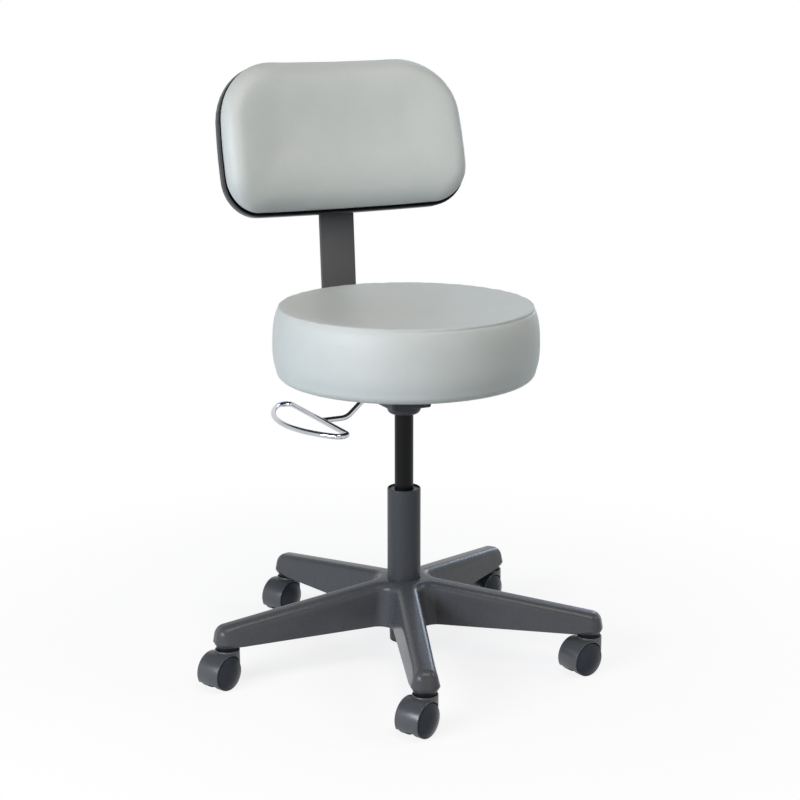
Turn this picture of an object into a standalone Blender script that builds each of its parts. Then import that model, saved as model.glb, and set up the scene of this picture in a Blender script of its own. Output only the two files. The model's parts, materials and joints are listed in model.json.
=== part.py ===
"""Exam stool with a backrest: five-leg base on casters, gas lift, round seat and padded back.

Metres, +Z up. The floor is z = 0, a sitter faces -Y, the backrest stands at +Y and the release
lever points to -X. The origin lies on the floor under the middle of the stool's outline.
"""
import math

import bmesh
import bpy
from mathutils import Vector

for old in list(bpy.data.objects):
    bpy.data.objects.remove(old, do_unlink=True)

# Driving dimensions: fits and the frame
GAP = 0.0003              # between faces that touch or run on each other
AXIS_X = 0.037            # column axis, from the middle of the stool's outline
AXIS_Y = 0.003
ROUND = 24                # sides of a middling round piece
SEAT_ROUND = 40           # sides of the seat and its board

# Driving dimensions: casters
WHEEL_R = 0.0255
WHEEL_FACE = 0.0203       # middle of the caster to the outer edge of a wheel
WHEEL_DOME = 0.004        # how far the wheel's face swells past its edge
WHEEL_EDGE = 0.004        # rounding of the tread's edges
WHEEL_COVER = 0.0035      # wall left in front of the axle's end
WEB_T = 0.012             # web between the two wheels
WEB_R = 0.012             # web left round the axle
TRAIL = 0.0165            # axle behind the stem
HOOD_T = 0.0016
HOOD_CLEAR = 0.0007       # wheel to hood
HOOD_W = 0.039
HOOD_FLOOR = 0.009        # floor to the hood's lower edge
COLLAR_R = 0.0184
COLLAR_H = 0.0283
CASTER_H = 0.0558         # floor to the collar's top
NECK_R = 0.0165
NECK_H = 0.0056
STEM_R = 0.0055
STEM_H = 0.023            # stem above the neck, in the leg
PIVOT_R = 0.0042
PIVOT_L = 0.023           # pivot below the neck, in the hood
AXLE_R = 0.003
CASTER_HEADINGS = (26, 11, 26, 26, 26)  # degrees, as the casters stand
HOOD_ROUND = 24           # sides of the hood's barrel

# Driving dimensions: base
LEGS = 5
STEM_CIRCLE = 0.2828      # column axis to a stem
FIRST_LEG = math.radians(249.2)
HUB_H = 0.0658            # underside of a leg to the top of the hub
LEG_END_H = 0.0312        # height of a leg over its stem
FOOT_HUB = 0.0222         # half width of a leg's underside, at the axis and at the stem
FOOT_END = 0.0208
RIDGE_HUB = 0.0175        # the same just under the rounded top edge
RIDGE_END = 0.0165
LEG_ROUND = 0.0125         # rounding of the top edges
HUB_FLAT = 0.035          # radius of the hub's level top
LEG_FILLET = 0.022        # upright fillet between two legs
LEG_WALL = 0.0045
RIB_T = 0.0035
POCKETS = 3               # hollows under each leg, between ribs

# Driving dimensions: column and gas spring
TUBE_R = 0.025
TUBE_WALL = 0.002
TUBE_RISE = 0.140         # tube above the hub
TUBE_LIP = 0.0015
FOOT_R = 0.0215           # tapered foot
FOOT_DROP = 0.0345        # foot below the legs' underside
FOOT_PLATE = 0.003
BEARING_R = 0.016
BEARING_T = 0.005
ROD_R = 0.005
SHOULDER_R = 0.012
SHOULDER_T = 0.002
GROOVE_DEEP = 0.0008
CLIP_T = 0.0012
CLIP_R = 0.0085
CLIP_MOUTH = 0.006
ROD_TAIL = 0.003          # rod below the clip
BUMPER_R = 0.0105
BUMPER_H = 0.018
GAS_R = 0.014
GAS_WALL = 0.0015
GAS_SHOWN = 0.115         # gas tube between the column's mouth and the socket, as it stands
STROKE = 0.140
RAISED = 0.105            # how far up its stroke the seat stands
STOP_GAP = 0.0025
BOTTOM_GAP = 0.011        # gas tube over the bumper, seat right down
GUIDE_H = 0.018           # rod guide and seal
PISTON_H = 0.014
PISTON_TOP = 0.0015       # rod end above the piston
BUSH_H = 0.058
BUSH_SUNK = 0.002         # bush below the column's mouth
TAPER_H = 0.0355          # gas tube inside the socket and the box
TAPER_IN = 0.0012         # taper over that height
CAP_H = 0.012
BUTTON_R = 0.003
BUTTON_IN = 0.008
BUTTON_GAP = 0.0005       # lever to button

# Driving dimensions: mechanism under the seat
BOWL_H = 0.0145
BOWL_R = 0.0255
BOWL_FOOT_R = 0.019
COLLAR_IN_R = 0.0185      # socket's collar inside the box
COLLAR_IN_H = 0.0145
BOX_W = 0.064
BOX_FRONT = 0.0286        # column axis to the box's front
BOX_BACK = 0.042
BOX_H = 0.0394
BOX_WALL = 0.0025
BOX_ROUND = 0.003
PLATE_T = 0.003
PLATE_W = 0.160
PLATE_FRONT = 0.080
PLATE_BACK = 0.128
PLATE_ROUND = 0.012
BOLT_R = 0.003
BOLT_HEAD_R = 0.005
BOLT_HEAD_H = 0.0035
BOLT_IN = 0.010           # thread in the seat board
BOLT_EDGE = 0.015         # bolt to the plate's edge

# Driving dimensions: release lever
LEVER_R = 0.004
LEVER_ARM = 0.022         # pivot to the valve button
PIVOT_UP = 0.0305         # pivot above the box's underside
PIN_R = 0.0025
LEVER_TUBE_R = 0.0055
LEVER_TUBE_L = 0.024
EAR_T = 0.0025
EAR_W = 0.012
EAR_TOP = 0.006           # ear above the pivot
PIN_PROUD = 0.0015
LOOP_DROP = 0.0420        # loop below the pivot
LOOP_BAR = 0.111          # pivot to the loop's straight bar
LOOP_W = 0.058            # bar to the apex of the loop
LOOP_ARC = 0.159          # radius of the loop's outer side
LOOP_CORNER = 0.012
LOOP_BACK = 0.0115        # loop's middle behind its stem
STEM_KNEE = 0.0715        # pivot to the stem's outer bend
STEM_TOP = 0.024          # pivot to the stem's inner bend
STEM_BEND = 0.024
LEVER_END = 0.003         # lever past the button's middle
LEVER_CLEAR = 0.0015      # lever to the sides of its slot

# Driving dimensions: seat
SEAT_FORWARD = 0.007      # seat's middle in front of the column axis
SEAM_R = 0.1885
SEAT_H = 0.1056           # underside to the top seam
SEAT_FOOT_R = 0.1910
SEAT_BULGE = 0.0067
SEAT_EDGE = 0.014         # rounding of the lower edge
SEAT_DISH = 0.010         # middle of the top below its seam
SEAM_BEAD = 0.003         # rolled edge at the seam
SEAT_WRAP = 0.001         # cover turned under, beside the board
BOARD_T = 0.0145

# Driving dimensions: backrest bar and its sleeves
BAR_W = 0.058
BAR_T = 0.006
BAR_LEAN = math.radians(4.07)
BAR_BEND_R = 0.025        # bend under the seat, to the bar's middle
BAR_KINK_R = 0.040        # bend behind the pad
BAR_KINK = 0.105          # below the pad's middle
BAR_TOP = 0.060           # bar above the pad's middle
DEPTH_IN = 0.020          # how far the bar can go in
SLEEVE_WALL = 0.0025
SLEEVE_FRONT = 0.045      # column axis to the seat sleeve
SLEEVE_L = 0.080
SLEEVE_STOP = 0.003       # bar's end past the sleeve's front, right in
KNOB_PLACE = 0.060        # clamp knob from the sleeve's front
KNOB_R = 0.0165
KNOB_H = 0.021
KNOB_SCREW_R = 0.004
KNOB_NECK_R = 0.0085
KNOB_NECK_H = 0.004
KNOB_LOBES = 6
KNOB_SCALLOP = 0.0055
FLANGE_W = 0.120
FLANGE_H = 0.064
FLANGE_T = 0.003
SCREW_R = 0.002
SCREW_HEAD_R = 0.004
SCREW_HEAD_H = 0.0024
SCREW_ACROSS = 0.045
SCREW_UP = 0.020

# Driving dimensions: backrest pad
PAD_Y = 0.228             # column axis to the middle of the pad's edge plane
PAD_UP = 0.2265           # pad's middle above the seat's seam
PAD_RECLINE = math.radians(14.4)
PAD_TOP_W = 0.373
PAD_BOTTOM_W = 0.3955
PAD_BOW = 0.008           # swell of each side
PAD_H = 0.2322
PAD_TOP_R = 0.100
PAD_BOTTOM_R = 0.056
PAD_BEND_R = 0.7874016    # bend round the sitter's back
PAD_ROLL_W = 0.027        # rolled front edge
PAD_ROLL_D = 0.030
PAD_DISH = 0.005          # hollow of the pad's middle
PAD_REAR = 0.004          # pad behind its widest line
PAD_TUCK = 0.003          # pad's rear edge drawn in
BACK_BOARD_T = 0.008
BACK_BOARD_IN = 0.0075    # board inside the pad's outline
SHELL_T = 0.0025
SHELL_RIM = 0.015         # depth of the shell's straight rim
SHELL_IN = 0.0005         # shell inside the pad's outline
SHELL_DROP = 0.0035       # shell set lower than the pad
SHELL_DEPTH = 0.0294      # pad's edge plane to the shell's back
SHELL_FLAT = 0.080        # shell's outline to its flat middle
BOSS_R = 0.006

# Heights and places that follow
LEG_BOTTOM = CASTER_H + NECK_H + 2 * GAP
HUB_TOP = LEG_BOTTOM + HUB_H
TUBE_TOP = HUB_TOP + TUBE_RISE
FOOT_Z = LEG_BOTTOM - FOOT_DROP
BEARING_Z = FOOT_Z + FOOT_PLATE + GAP
SHOULDER_Z = BEARING_Z + BEARING_T + GAP
BUMPER_Z = SHOULDER_Z + SHOULDER_T + GAP
GAS_LOW = BUMPER_Z + BUMPER_H + BOTTOM_GAP + RAISED
PISTON_Z = GAS_LOW - RAISED + STROKE + GAP + GUIDE_H + STOP_GAP
SOCKET_Z = TUBE_TOP + GAS_SHOWN
GAS_TOP = SOCKET_Z + TAPER_H
BOX_Z = SOCKET_Z + BOWL_H
BOX_TOP = BOX_Z + BOX_H
PLATE_Z = BOX_TOP + GAP
SEAT_Z = PLATE_Z + PLATE_T + GAP
SEAM_Z = SEAT_Z + SEAT_H
BOARD_R = SEAT_FOOT_R - SEAT_EDGE - SEAT_WRAP - GAP
PIVOT_Z = BOX_Z + PIVOT_UP
SLEEVE_TOP = PLATE_Z - GAP
BAR_Z = SLEEVE_TOP - SLEEVE_WALL - GAP - BAR_T / 2
SLEEVE_LOW = BAR_Z - BAR_T / 2 - GAP - SLEEVE_WALL
SLEEVE_W = BAR_W + 2 * GAP + 2 * SLEEVE_WALL
PAD_Z = SEAM_Z + PAD_UP
FLANGE_Y = SHELL_DEPTH + GAP
BAR_FRONT = FLANGE_Y + FLANGE_T + GAP
HAT_BACK = BAR_FRONT + BAR_T + GAP + SLEEVE_WALL
BOARD_Y = PAD_REAR + GAP
HOOD_R = WHEEL_R + HOOD_CLEAR + HOOD_T
LEG_STEP = 2 * math.pi / LEGS

parts = bpy.data.collections.new("exam_stool")
cutters = bpy.data.collections.new("cutters")
bpy.context.scene.collection.children.link(parts)
bpy.context.scene.collection.children.link(cutters)


def finish(name, colour, roughness, metallic=0.0):
    """A plain material of one colour, given as linear red, green and blue."""
    made = bpy.data.materials.new(name)
    made.use_nodes = True
    shader = made.node_tree.nodes["Principled BSDF"]
    shader.inputs["Base Color"].default_value = (*colour, 1.0)
    shader.inputs["Roughness"].default_value = roughness
    shader.inputs["Metallic"].default_value = metallic
    return made


VINYL = finish("grey_vinyl", (0.52, 0.55, 0.52), 0.45)
NYLON = finish("charcoal_nylon", (0.060, 0.064, 0.070), 0.45)
SHELL_PLASTIC = finish("shell_plastic", (0.055, 0.057, 0.060), 0.50)
TREAD = finish("wheel_plastic", (0.028, 0.030, 0.034), 0.40)
PAINTED = finish("painted_steel", (0.055, 0.058, 0.064), 0.40, 0.2)
BLACK_STEEL = finish("black_steel", (0.012, 0.012, 0.013), 0.30, 0.6)
CHROME = finish("chrome", (0.80, 0.80, 0.82), 0.08, 1.0)
STEEL = finish("zinc_steel", (0.50, 0.50, 0.50), 0.35, 1.0)
PLYWOOD = finish("plywood", (0.030, 0.027, 0.025), 0.70)
RUBBER = finish("rubber", (0.015, 0.015, 0.015), 0.80)


def empty(name, parent, place=(0, 0, 0), turn=(0, 0, 0)):
    """A plain-axes empty that carries the pieces of one moving body."""
    made = bpy.data.objects.new(name, None)
    parts.objects.link(made)
    made.parent = parent
    made.location = place
    made.rotation_euler = turn
    return made


def add(name, mesh, parent, coat, place=(0, 0, 0), turn=(0, 0, 0)):
    """An object for a mesh: a piece of the stool, or a cutter where it has no coat."""
    made = bpy.data.objects.new(name, mesh)
    made.parent = parent
    made.location = place
    made.rotation_euler = turn
    if coat is None:
        cutters.objects.link(made)
        made.hide_render = True
        made.display_type = "WIRE"
        return made
    parts.objects.link(made)
    mesh.materials.clear()
    mesh.materials.append(coat)
    return made


def turned(name, profile, parent, coat, place=(0, 0, 0), turn=(0, 0, 0), sides=ROUND):
    """Sweep (radius, height) pairs round Z; they run down the outer side, and back up a bore."""
    edges = [(i, i + 1) for i in range(len(profile) - 1)]
    if profile[0][0] > 0:
        edges.append((len(profile) - 1, 0))
    mesh = bpy.data.meshes.new(name)
    mesh.from_pydata([(radius, 0, height) for radius, height in profile], edges, [])
    made = add(name, mesh, parent, coat, place, turn)
    screw = made.modifiers.new("turn", "SCREW")
    screw.steps = sides
    screw.render_steps = sides
    screw.use_merge_vertices = True
    screw.merge_threshold = 0.00005
    return made


def rod(name, radius, low, high, parent, coat, place=(0, 0, 0), turn=(0, 0, 0), sides=ROUND):
    """A plain round bar along Z."""
    profile = [(0, high), (radius, high), (radius, low), (0, low)]
    return turned(name, profile, parent, coat, place, turn, sides)


def ring(name, bore, radius, low, high, parent, coat, place=(0, 0, 0), sides=ROUND):
    """A plain round ring along Z."""
    profile = [(radius, high), (radius, low), (bore, low), (bore, high)]
    return turned(name, profile, parent, coat, place, (0, 0, 0), sides)


def block(name, low, high, parent, coat):
    """A box between two corners."""
    low, high = Vector(low), Vector(high)
    shape = bmesh.new()
    bmesh.ops.create_cube(shape, size=1)
    bmesh.ops.scale(shape, vec=high - low, verts=shape.verts)
    bmesh.ops.translate(shape, vec=(low + high) / 2, verts=shape.verts)
    mesh = bpy.data.meshes.new(name)
    shape.to_mesh(mesh)
    shape.free()
    return add(name, mesh, parent, coat)


def baked(made):
    """The mesh of an object as its modifiers leave it."""
    bpy.context.view_layer.update()
    graph = bpy.context.evaluated_depsgraph_get()
    return bpy.data.meshes.new_from_object(made.evaluated_get(graph))


def from_curve(name, curve, parent, coat, place=(0, 0, 0)):
    """Turn curve data into a mesh piece, with its caps welded on."""
    guide = bpy.data.objects.new(name + "_curve", curve)
    cutters.objects.link(guide)
    mesh = baked(guide)
    bpy.data.objects.remove(guide)
    shape = bmesh.new()
    shape.from_mesh(mesh)
    bmesh.ops.remove_doubles(shape, verts=shape.verts, dist=0.00001)
    bmesh.ops.recalc_face_normals(shape, faces=shape.faces)
    shape.to_mesh(mesh)
    shape.free()
    return add(name, mesh, parent, coat, place)


def wire(name, points, radius, parent, coat, closed=False):
    """A round wire along a list of points."""
    curve = bpy.data.curves.new(name, "CURVE")
    curve.dimensions = "3D"
    curve.bevel_depth = radius
    curve.bevel_resolution = 2
    curve.use_fill_caps = not closed
    line = curve.splines.new("POLY")
    line.points.add(len(points) - 1)
    for point, place in zip(line.points, points):
        point.co = (*place, 1)
    line.use_cyclic_u = closed
    return from_curve(name, curve, parent, coat)


def plate(name, outline, thickness, parent, coat, place=(0, 0, 0)):
    """A flat plate of an outline in X and Y, with its underside at the place given."""
    curve = bpy.data.curves.new(name, "CURVE")
    curve.dimensions = "2D"
    curve.fill_mode = "BOTH"
    curve.extrude = thickness / 2
    line = curve.splines.new("POLY")
    line.points.add(len(outline) - 1)
    for point, (x, y) in zip(line.points, outline):
        point.co = (x, y, thickness / 2, 1)
    line.use_cyclic_u = True
    made = from_curve(name, curve, parent, coat, place)
    low = min(vertex.co.z for vertex in made.data.vertices)
    made.data.transform(((1, 0, 0, 0), (0, 1, 0, 0), (0, 0, 1, -low), (0, 0, 0, 1)))
    return made


def combine(made, tool, operation="DIFFERENCE"):
    """Cut a piece with a tool, or join the tool to it."""
    boolean = made.modifiers.new(operation.lower(), "BOOLEAN")
    boolean.operation = operation
    boolean.object = tool
    boolean.solver = "EXACT"


def bevel(made, width, segments=2):
    """Round a piece's sharp edges."""
    rounding = made.modifiers.new("rounding", "BEVEL")
    rounding.width = width
    rounding.segments = segments
    rounding.limit_method = "ANGLE"


def arc(centre, radius, start, end, steps):
    """Points on an arc, both ends included; angles in radians."""
    turns = [start + (end - start) * i / steps for i in range(steps + 1)]
    return [(centre[0] + radius * math.cos(a), centre[1] + radius * math.sin(a)) for a in turns]


def rounded_box_outline(left, right, front, back, radius, steps=4):
    """A rectangle with round corners, anticlockwise."""
    quarter = math.pi / 2
    corners = [(right, back), (left, back), (left, front), (right, front)]
    outline = []
    for i, (x, y) in enumerate(corners):
        centre = (x - math.copysign(radius, x - (left + right) / 2),
                  y - math.copysign(radius, y - (front + back) / 2))
        outline += arc(centre, radius, i * quarter, (i + 1) * quarter, steps)
    return outline


def rounded_path(points, radii, steps=6):
    """A path of straight runs whose inner corners are arcs of the radii given."""
    path = [Vector(points[0])]
    for before, corner, after, radius in zip(points, points[1:], points[2:], radii):
        corner = Vector(corner)
        back = (Vector(before) - corner).normalized()
        ahead = (Vector(after) - corner).normalized()
        half = back.angle(ahead) / 2
        middle = corner + (back + ahead).normalized() * radius / math.sin(half)
        start = (corner + back * radius / math.tan(half) - middle).normalized()
        end = (corner + ahead * radius / math.tan(half) - middle).normalized()
        path += [middle + start.slerp(end, i / steps) * radius for i in range(steps + 1)]
    path.append(Vector(points[-1]))
    return path


def skin(rings, caps):
    """A bmesh through closed rings of points; caps lists the rings closed by a ladder of faces."""
    shape = bmesh.new()
    rows = [[shape.verts.new(point) for point in line] for line in rings]
    count = len(rows[0])
    for upper, lower in zip(rows, rows[1:]):
        for i in range(count):
            j = (i + 1) % count
            shape.faces.new((upper[i], upper[j], lower[j], lower[i]))
    for row in (rows[i] for i in caps):
        for i in range(count // 2):
            rung = [row[i], row[i + 1], row[count - i - 1], row[-i]]
            shape.faces.new(list(dict.fromkeys(rung)))
    bmesh.ops.recalc_face_normals(shape, faces=shape.faces)
    return shape


def skinned(name, rings, parent, coat, caps=(0, -1)):
    """A lofted piece through closed rings of points."""
    shape = skin(rings, caps)
    mesh = bpy.data.meshes.new(name)
    shape.to_mesh(mesh)
    shape.free()
    return add(name, mesh, parent, coat)


# Star base: one outline, made at four heights
def leg_outline(hub, end, fillet):
    """One leg's plan along +X, from the middle of one fillet to just short of the next."""
    half = LEG_STEP / 2
    taper = (hub - end) / STEM_CIRCLE
    slope = math.hypot(1, taper)
    reach = (fillet * slope + hub) / (math.sin(half) + taper * math.cos(half))
    lean = math.atan(taper)
    quarter = math.pi / 2
    centre = (reach * math.cos(half), -reach * math.sin(half))
    inner = arc(centre, fillet, math.pi - half, quarter + lean, 4)
    tip = arc((STEM_CIRCLE, 0), end / slope, lean - quarter, quarter - lean, 8)
    return inner + tip + [(x, -y) for x, y in inner[:0:-1]]


def ridge_height(x, y):
    """Height of a leg's top above the plan point."""
    fall = (HUB_H - LEG_END_H) / (STEM_CIRCLE - HUB_FLAT)
    return HUB_TOP - fall * max(math.hypot(x, y) - HUB_FLAT, 0)


def star_ring(hub, end, fillet, drop=None):
    """A whole star: level with the underside, or a drop below the ridge."""
    points = []
    for leg in range(LEGS):
        cos, sin = math.cos(leg * LEG_STEP), math.sin(leg * LEG_STEP)
        for x, y in leg_outline(hub, end, fillet):
            height = LEG_BOTTOM if drop is None else ridge_height(x, y) - drop
            points.append((x * cos - y * sin, x * sin + y * cos, height))
    return points


def star_base(parent):
    """The moulded base: legs, hub bore, stem sockets and the hollows underneath."""
    soft = LEG_ROUND * (1 - math.cos(math.pi / 4))
    rings = [star_ring(FOOT_HUB, FOOT_END, LEG_FILLET)]
    for inset, drop in ((0, LEG_ROUND), (soft, soft), (LEG_ROUND, 0)):
        rings.append(star_ring(RIDGE_HUB - inset, RIDGE_END - inset, LEG_FILLET + inset, drop))
    shape = skin(rings, ())
    shape.verts.ensure_lookup_table()
    count = len(rings[0])
    per_leg = count // LEGS
    for first in (0, count * (len(rings) - 1)):
        row = [shape.verts[first + i] for i in range(count)]
        shape.faces.new([row[leg * per_leg] for leg in range(LEGS)])
        for leg in range(LEGS):
            side = [row[(leg * per_leg + i) % count] for i in range(per_leg + 1)]
            for i in range(per_leg // 2):
                rung = [side[i], side[i + 1], side[per_leg - i - 1], side[per_leg - i]]
                shape.faces.new(list(dict.fromkeys(rung)))
    bmesh.ops.recalc_face_normals(shape, faces=shape.faces)
    mesh = bpy.data.meshes.new("star_base")
    shape.to_mesh(mesh)
    shape.free()
    base = add("star_base", mesh, parent, NYLON, turn=(0, 0, FIRST_LEG))

    past = 0.01
    grow = (TUBE_R - FOOT_R) / (HUB_TOP - FOOT_Z)
    low, high = LEG_BOTTOM - past, HUB_TOP + past
    wide = [FOOT_R + grow * (z - FOOT_Z) + GAP for z in (high, low)]
    bore = [(0, high), (wide[0], high), (wide[1], low), (0, low)]
    combine(base, turned("hub_bore", bore, base, None))
    for leg in range(LEGS):
        spoke = empty(f"leg_{leg + 1}_line", base, turn=(0, 0, leg * LEG_STEP))
        socket_top = LEG_BOTTOM + STEM_H + GAP
        socket = rod(f"socket_{leg + 1}", STEM_R + GAP, LEG_BOTTOM - past, socket_top,
                     spoke, None, (STEM_CIRCLE, 0, 0))
        combine(base, socket)
        for pocket in leg_pockets(leg + 1, spoke):
            combine(base, pocket)
    return base


def leg_pockets(number, spoke):
    """Tapered blocks that hollow a leg from below and leave ribs between them."""
    first = (LEG_FILLET + FOOT_HUB) / math.tan(LEG_STEP / 2)
    last = STEM_CIRCLE - FOOT_END
    length = (last - first - RIB_T * (POCKETS - 1)) / POCKETS
    made = []
    for i in range(POCKETS):
        near = first + i * (length + RIB_T)
        tool = block(f"pocket_{number}_{i + 1}", (near, -1, 0), (near + length, 1, 1), spoke, None)
        for corner in tool.data.vertices:
            share = corner.co.x / STEM_CIRCLE
            foot = FOOT_HUB + (FOOT_END - FOOT_HUB) * share - LEG_WALL
            ridge = RIDGE_HUB + (RIDGE_END - RIDGE_HUB) * share - LEG_WALL
            upper = corner.co.z > 0.5
            corner.co.y = math.copysign(ridge if upper else foot, corner.co.y)
            roof = ridge_height(near + length, 0) - LEG_ROUND - LEG_WALL
            corner.co.z = roof if upper else LEG_BOTTOM - LEG_WALL
        made.append(tool)
    return made


# Column and gas spring
def column(root, rod_body, carriage):
    """The outer tube and what it holds, the rod on its bearing, and the gas tube."""
    plate_top = FOOT_Z + FOOT_PLATE
    taper = (TUBE_R - FOOT_R) / (HUB_TOP - FOOT_Z)
    chamfer = TUBE_WALL / 2
    bore = ROD_R + GAP
    tube = [
        (TUBE_R - TUBE_LIP, TUBE_TOP),
        (TUBE_R - TUBE_LIP * 0.3, TUBE_TOP - TUBE_LIP * 0.3),
        (TUBE_R, TUBE_TOP - TUBE_LIP),
        (TUBE_R, HUB_TOP),
        (FOOT_R + taper * chamfer, FOOT_Z + chamfer),
        (FOOT_R - chamfer, FOOT_Z),
        (bore, FOOT_Z),
        (bore, plate_top),
        (FOOT_R + taper * FOOT_PLATE - TUBE_WALL, plate_top),
        (TUBE_R - TUBE_WALL, HUB_TOP),
        (TUBE_R - TUBE_WALL, TUBE_TOP),
    ]
    turned("column_tube", tube, root, PAINTED)
    bush_top = TUBE_TOP - BUSH_SUNK
    ring("guide_bush", GAS_R + GAP, TUBE_R - TUBE_WALL - GAP, bush_top - BUSH_H, bush_top,
         root, TREAD)
    ring("thrust_bearing", bore, BEARING_R, BEARING_Z, BEARING_Z + BEARING_T, root, STEEL)

    groove_top = FOOT_Z
    groove_low = groove_top - CLIP_T - 2 * GAP
    piston_end = PISTON_Z + PISTON_H + PISTON_TOP
    rod_profile = [
        (0, piston_end),
        (ROD_R, piston_end),
        (ROD_R, SHOULDER_Z + SHOULDER_T),
        (SHOULDER_R, SHOULDER_Z + SHOULDER_T),
        (SHOULDER_R, SHOULDER_Z),
        (ROD_R, SHOULDER_Z),
        (ROD_R, groove_top),
        (ROD_R - GROOVE_DEEP, groove_top),
        (ROD_R - GROOVE_DEEP, groove_low),
        (ROD_R, groove_low),
        (ROD_R, groove_low - ROD_TAIL),
        (0, groove_low - ROD_TAIL),
    ]
    turned("piston_rod", rod_profile, rod_body, STEEL, sides=16)
    ring("piston", ROD_R + GAP, GAS_R - GAS_WALL - GAP, PISTON_Z, PISTON_Z + PISTON_H,
         rod_body, STEEL)
    ring("bumper", ROD_R + GAP, BUMPER_R, BUMPER_Z, BUMPER_Z + BUMPER_H, rod_body, RUBBER,
         sides=16)
    clip = ring("retaining_clip", ROD_R - GROOVE_DEEP + GAP, CLIP_R, groove_low + GAP,
                groove_top - GAP, rod_body, STEEL, sides=16)
    mouth = block("clip_mouth", (0, -CLIP_MOUTH / 2, groove_low - CLIP_T),
                  (2 * CLIP_R, CLIP_MOUTH / 2, groove_top + CLIP_T), rod_body, None)
    combine(clip, mouth)

    hole = BUTTON_R + GAP
    gas_bore = GAS_R - GAS_WALL
    gas = [
        (hole, GAS_TOP),
        (GAS_R - TAPER_IN, GAS_TOP),
        (GAS_R, SOCKET_Z),
        (GAS_R, GAS_LOW),
        (gas_bore, GAS_LOW),
        (gas_bore, SOCKET_Z),
        (gas_bore - TAPER_IN, GAS_TOP - CAP_H),
        (hole, GAS_TOP - CAP_H),
    ]
    turned("gas_tube", gas, carriage, BLACK_STEEL)
    ring("rod_guide", ROD_R + GAP, gas_bore - GAP, GAS_LOW + GAP, GAS_LOW + GAP + GUIDE_H,
         carriage, RUBBER)


# Mechanism, lever and seat
def mechanism(carriage):
    """Socket, box, seat plate, pivot pin and bolts, all carried by the gas tube."""
    slope = TAPER_IN / TAPER_H
    collar_top = BOX_Z + COLLAR_IN_H
    bowl_top = BOX_Z - GAP
    bowl = [(COLLAR_IN_R, collar_top), (COLLAR_IN_R, bowl_top)]
    for i in range(5):
        turn = math.pi / 2 * i / 4
        bowl.append((BOWL_FOOT_R + (BOWL_R - BOWL_FOOT_R) * math.cos(turn),
                     bowl_top - (bowl_top - SOCKET_Z) * math.sin(turn)))
    bowl.append((GAS_R + GAP, SOCKET_Z))
    bowl.append((GAS_R + GAP - slope * (collar_top - SOCKET_Z), collar_top))
    turned("taper_socket", bowl, carriage, PAINTED)

    half = BOX_W / 2
    box = block("mechanism_box", (-half, -BOX_FRONT, BOX_Z), (half, BOX_BACK, BOX_TOP),
                carriage, PAINTED)
    bevel(box, BOX_ROUND, 1)
    floor = BOX_Z + BOX_WALL
    hollow = block("box_hollow", (BOX_WALL - half, BOX_WALL - BOX_FRONT, floor),
                   (half - BOX_WALL, BOX_BACK - BOX_WALL, BOX_TOP + BOX_WALL), carriage, None)
    combine(box, hollow)
    combine(box, rod("box_hole", COLLAR_IN_R + GAP, BOX_Z - BOX_WALL, floor + BOX_WALL,
                     carriage, None))
    slot = LEVER_R + LEVER_CLEAR
    slot_low = PIVOT_Z - LEVER_R - LEVER_CLEAR
    combine(box, block("lever_slot", (-half - BOX_WALL, -slot, slot_low),
                       (BOX_WALL / 2 - half + BOX_WALL, slot, BOX_TOP + BOX_WALL),
                       carriage, None))
    ear_in = LEVER_TUBE_L / 2 + GAP
    for side, name in ((-1, "front"), (1, "rear")):
        near, far = sorted((side * ear_in, side * (ear_in + EAR_T)))
        ear = block(f"{name}_ear", (-LEVER_ARM - EAR_W / 2, near, BOX_Z + BOX_WALL / 2),
                    (-LEVER_ARM + EAR_W / 2, far, PIVOT_Z + EAR_TOP), carriage, None)
        combine(box, ear, "UNION")
    pin_half = ear_in + EAR_T + PIN_PROUD
    across = (math.pi / 2, 0, 0)
    pivot = (-LEVER_ARM, 0, PIVOT_Z)
    combine(box, rod("ear_hole", PIN_R + GAP, -pin_half, pin_half, carriage, None, pivot, across,
                     16))
    rod("lever_pin", PIN_R, -pin_half, pin_half, carriage, STEEL, pivot, across, 16)

    outline = rounded_box_outline(-PLATE_W / 2, PLATE_W / 2, -PLATE_FRONT, PLATE_BACK,
                                  PLATE_ROUND)
    seat_plate = plate("seat_plate", outline, PLATE_T, carriage, PAINTED, (0, 0, PLATE_Z))
    board = rod("seat_board", BOARD_R, SEAT_Z, SEAT_Z + BOARD_T, carriage, PLYWOOD,
                (0, -SEAT_FORWARD, 0), sides=SEAT_ROUND)
    bolt_x = PLATE_W / 2 - BOLT_EDGE
    places = [(x, y) for y in (BOLT_EDGE - PLATE_FRONT, PLATE_BACK - BOLT_EDGE)
              for x in (-bolt_x, bolt_x)]
    head = PLATE_Z - GAP
    tip = SEAT_Z + BOLT_IN
    bolt = [(0, tip), (BOLT_R, tip), (BOLT_R, head), (BOLT_HEAD_R, head),
            (BOLT_HEAD_R, head - BOLT_HEAD_H), (0, head - BOLT_HEAD_H)]
    for i, (x, y) in enumerate(places):
        turned(f"seat_bolt_{i + 1}", bolt, carriage, STEEL, (x, y, 0), sides=12)
        hole = rod(f"bolt_hole_{i + 1}", BOLT_R + GAP, head, tip + GAP, carriage, None, (x, y, 0),
                   sides=12)
        combine(seat_plate, hole)
        combine(board, hole)


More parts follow.
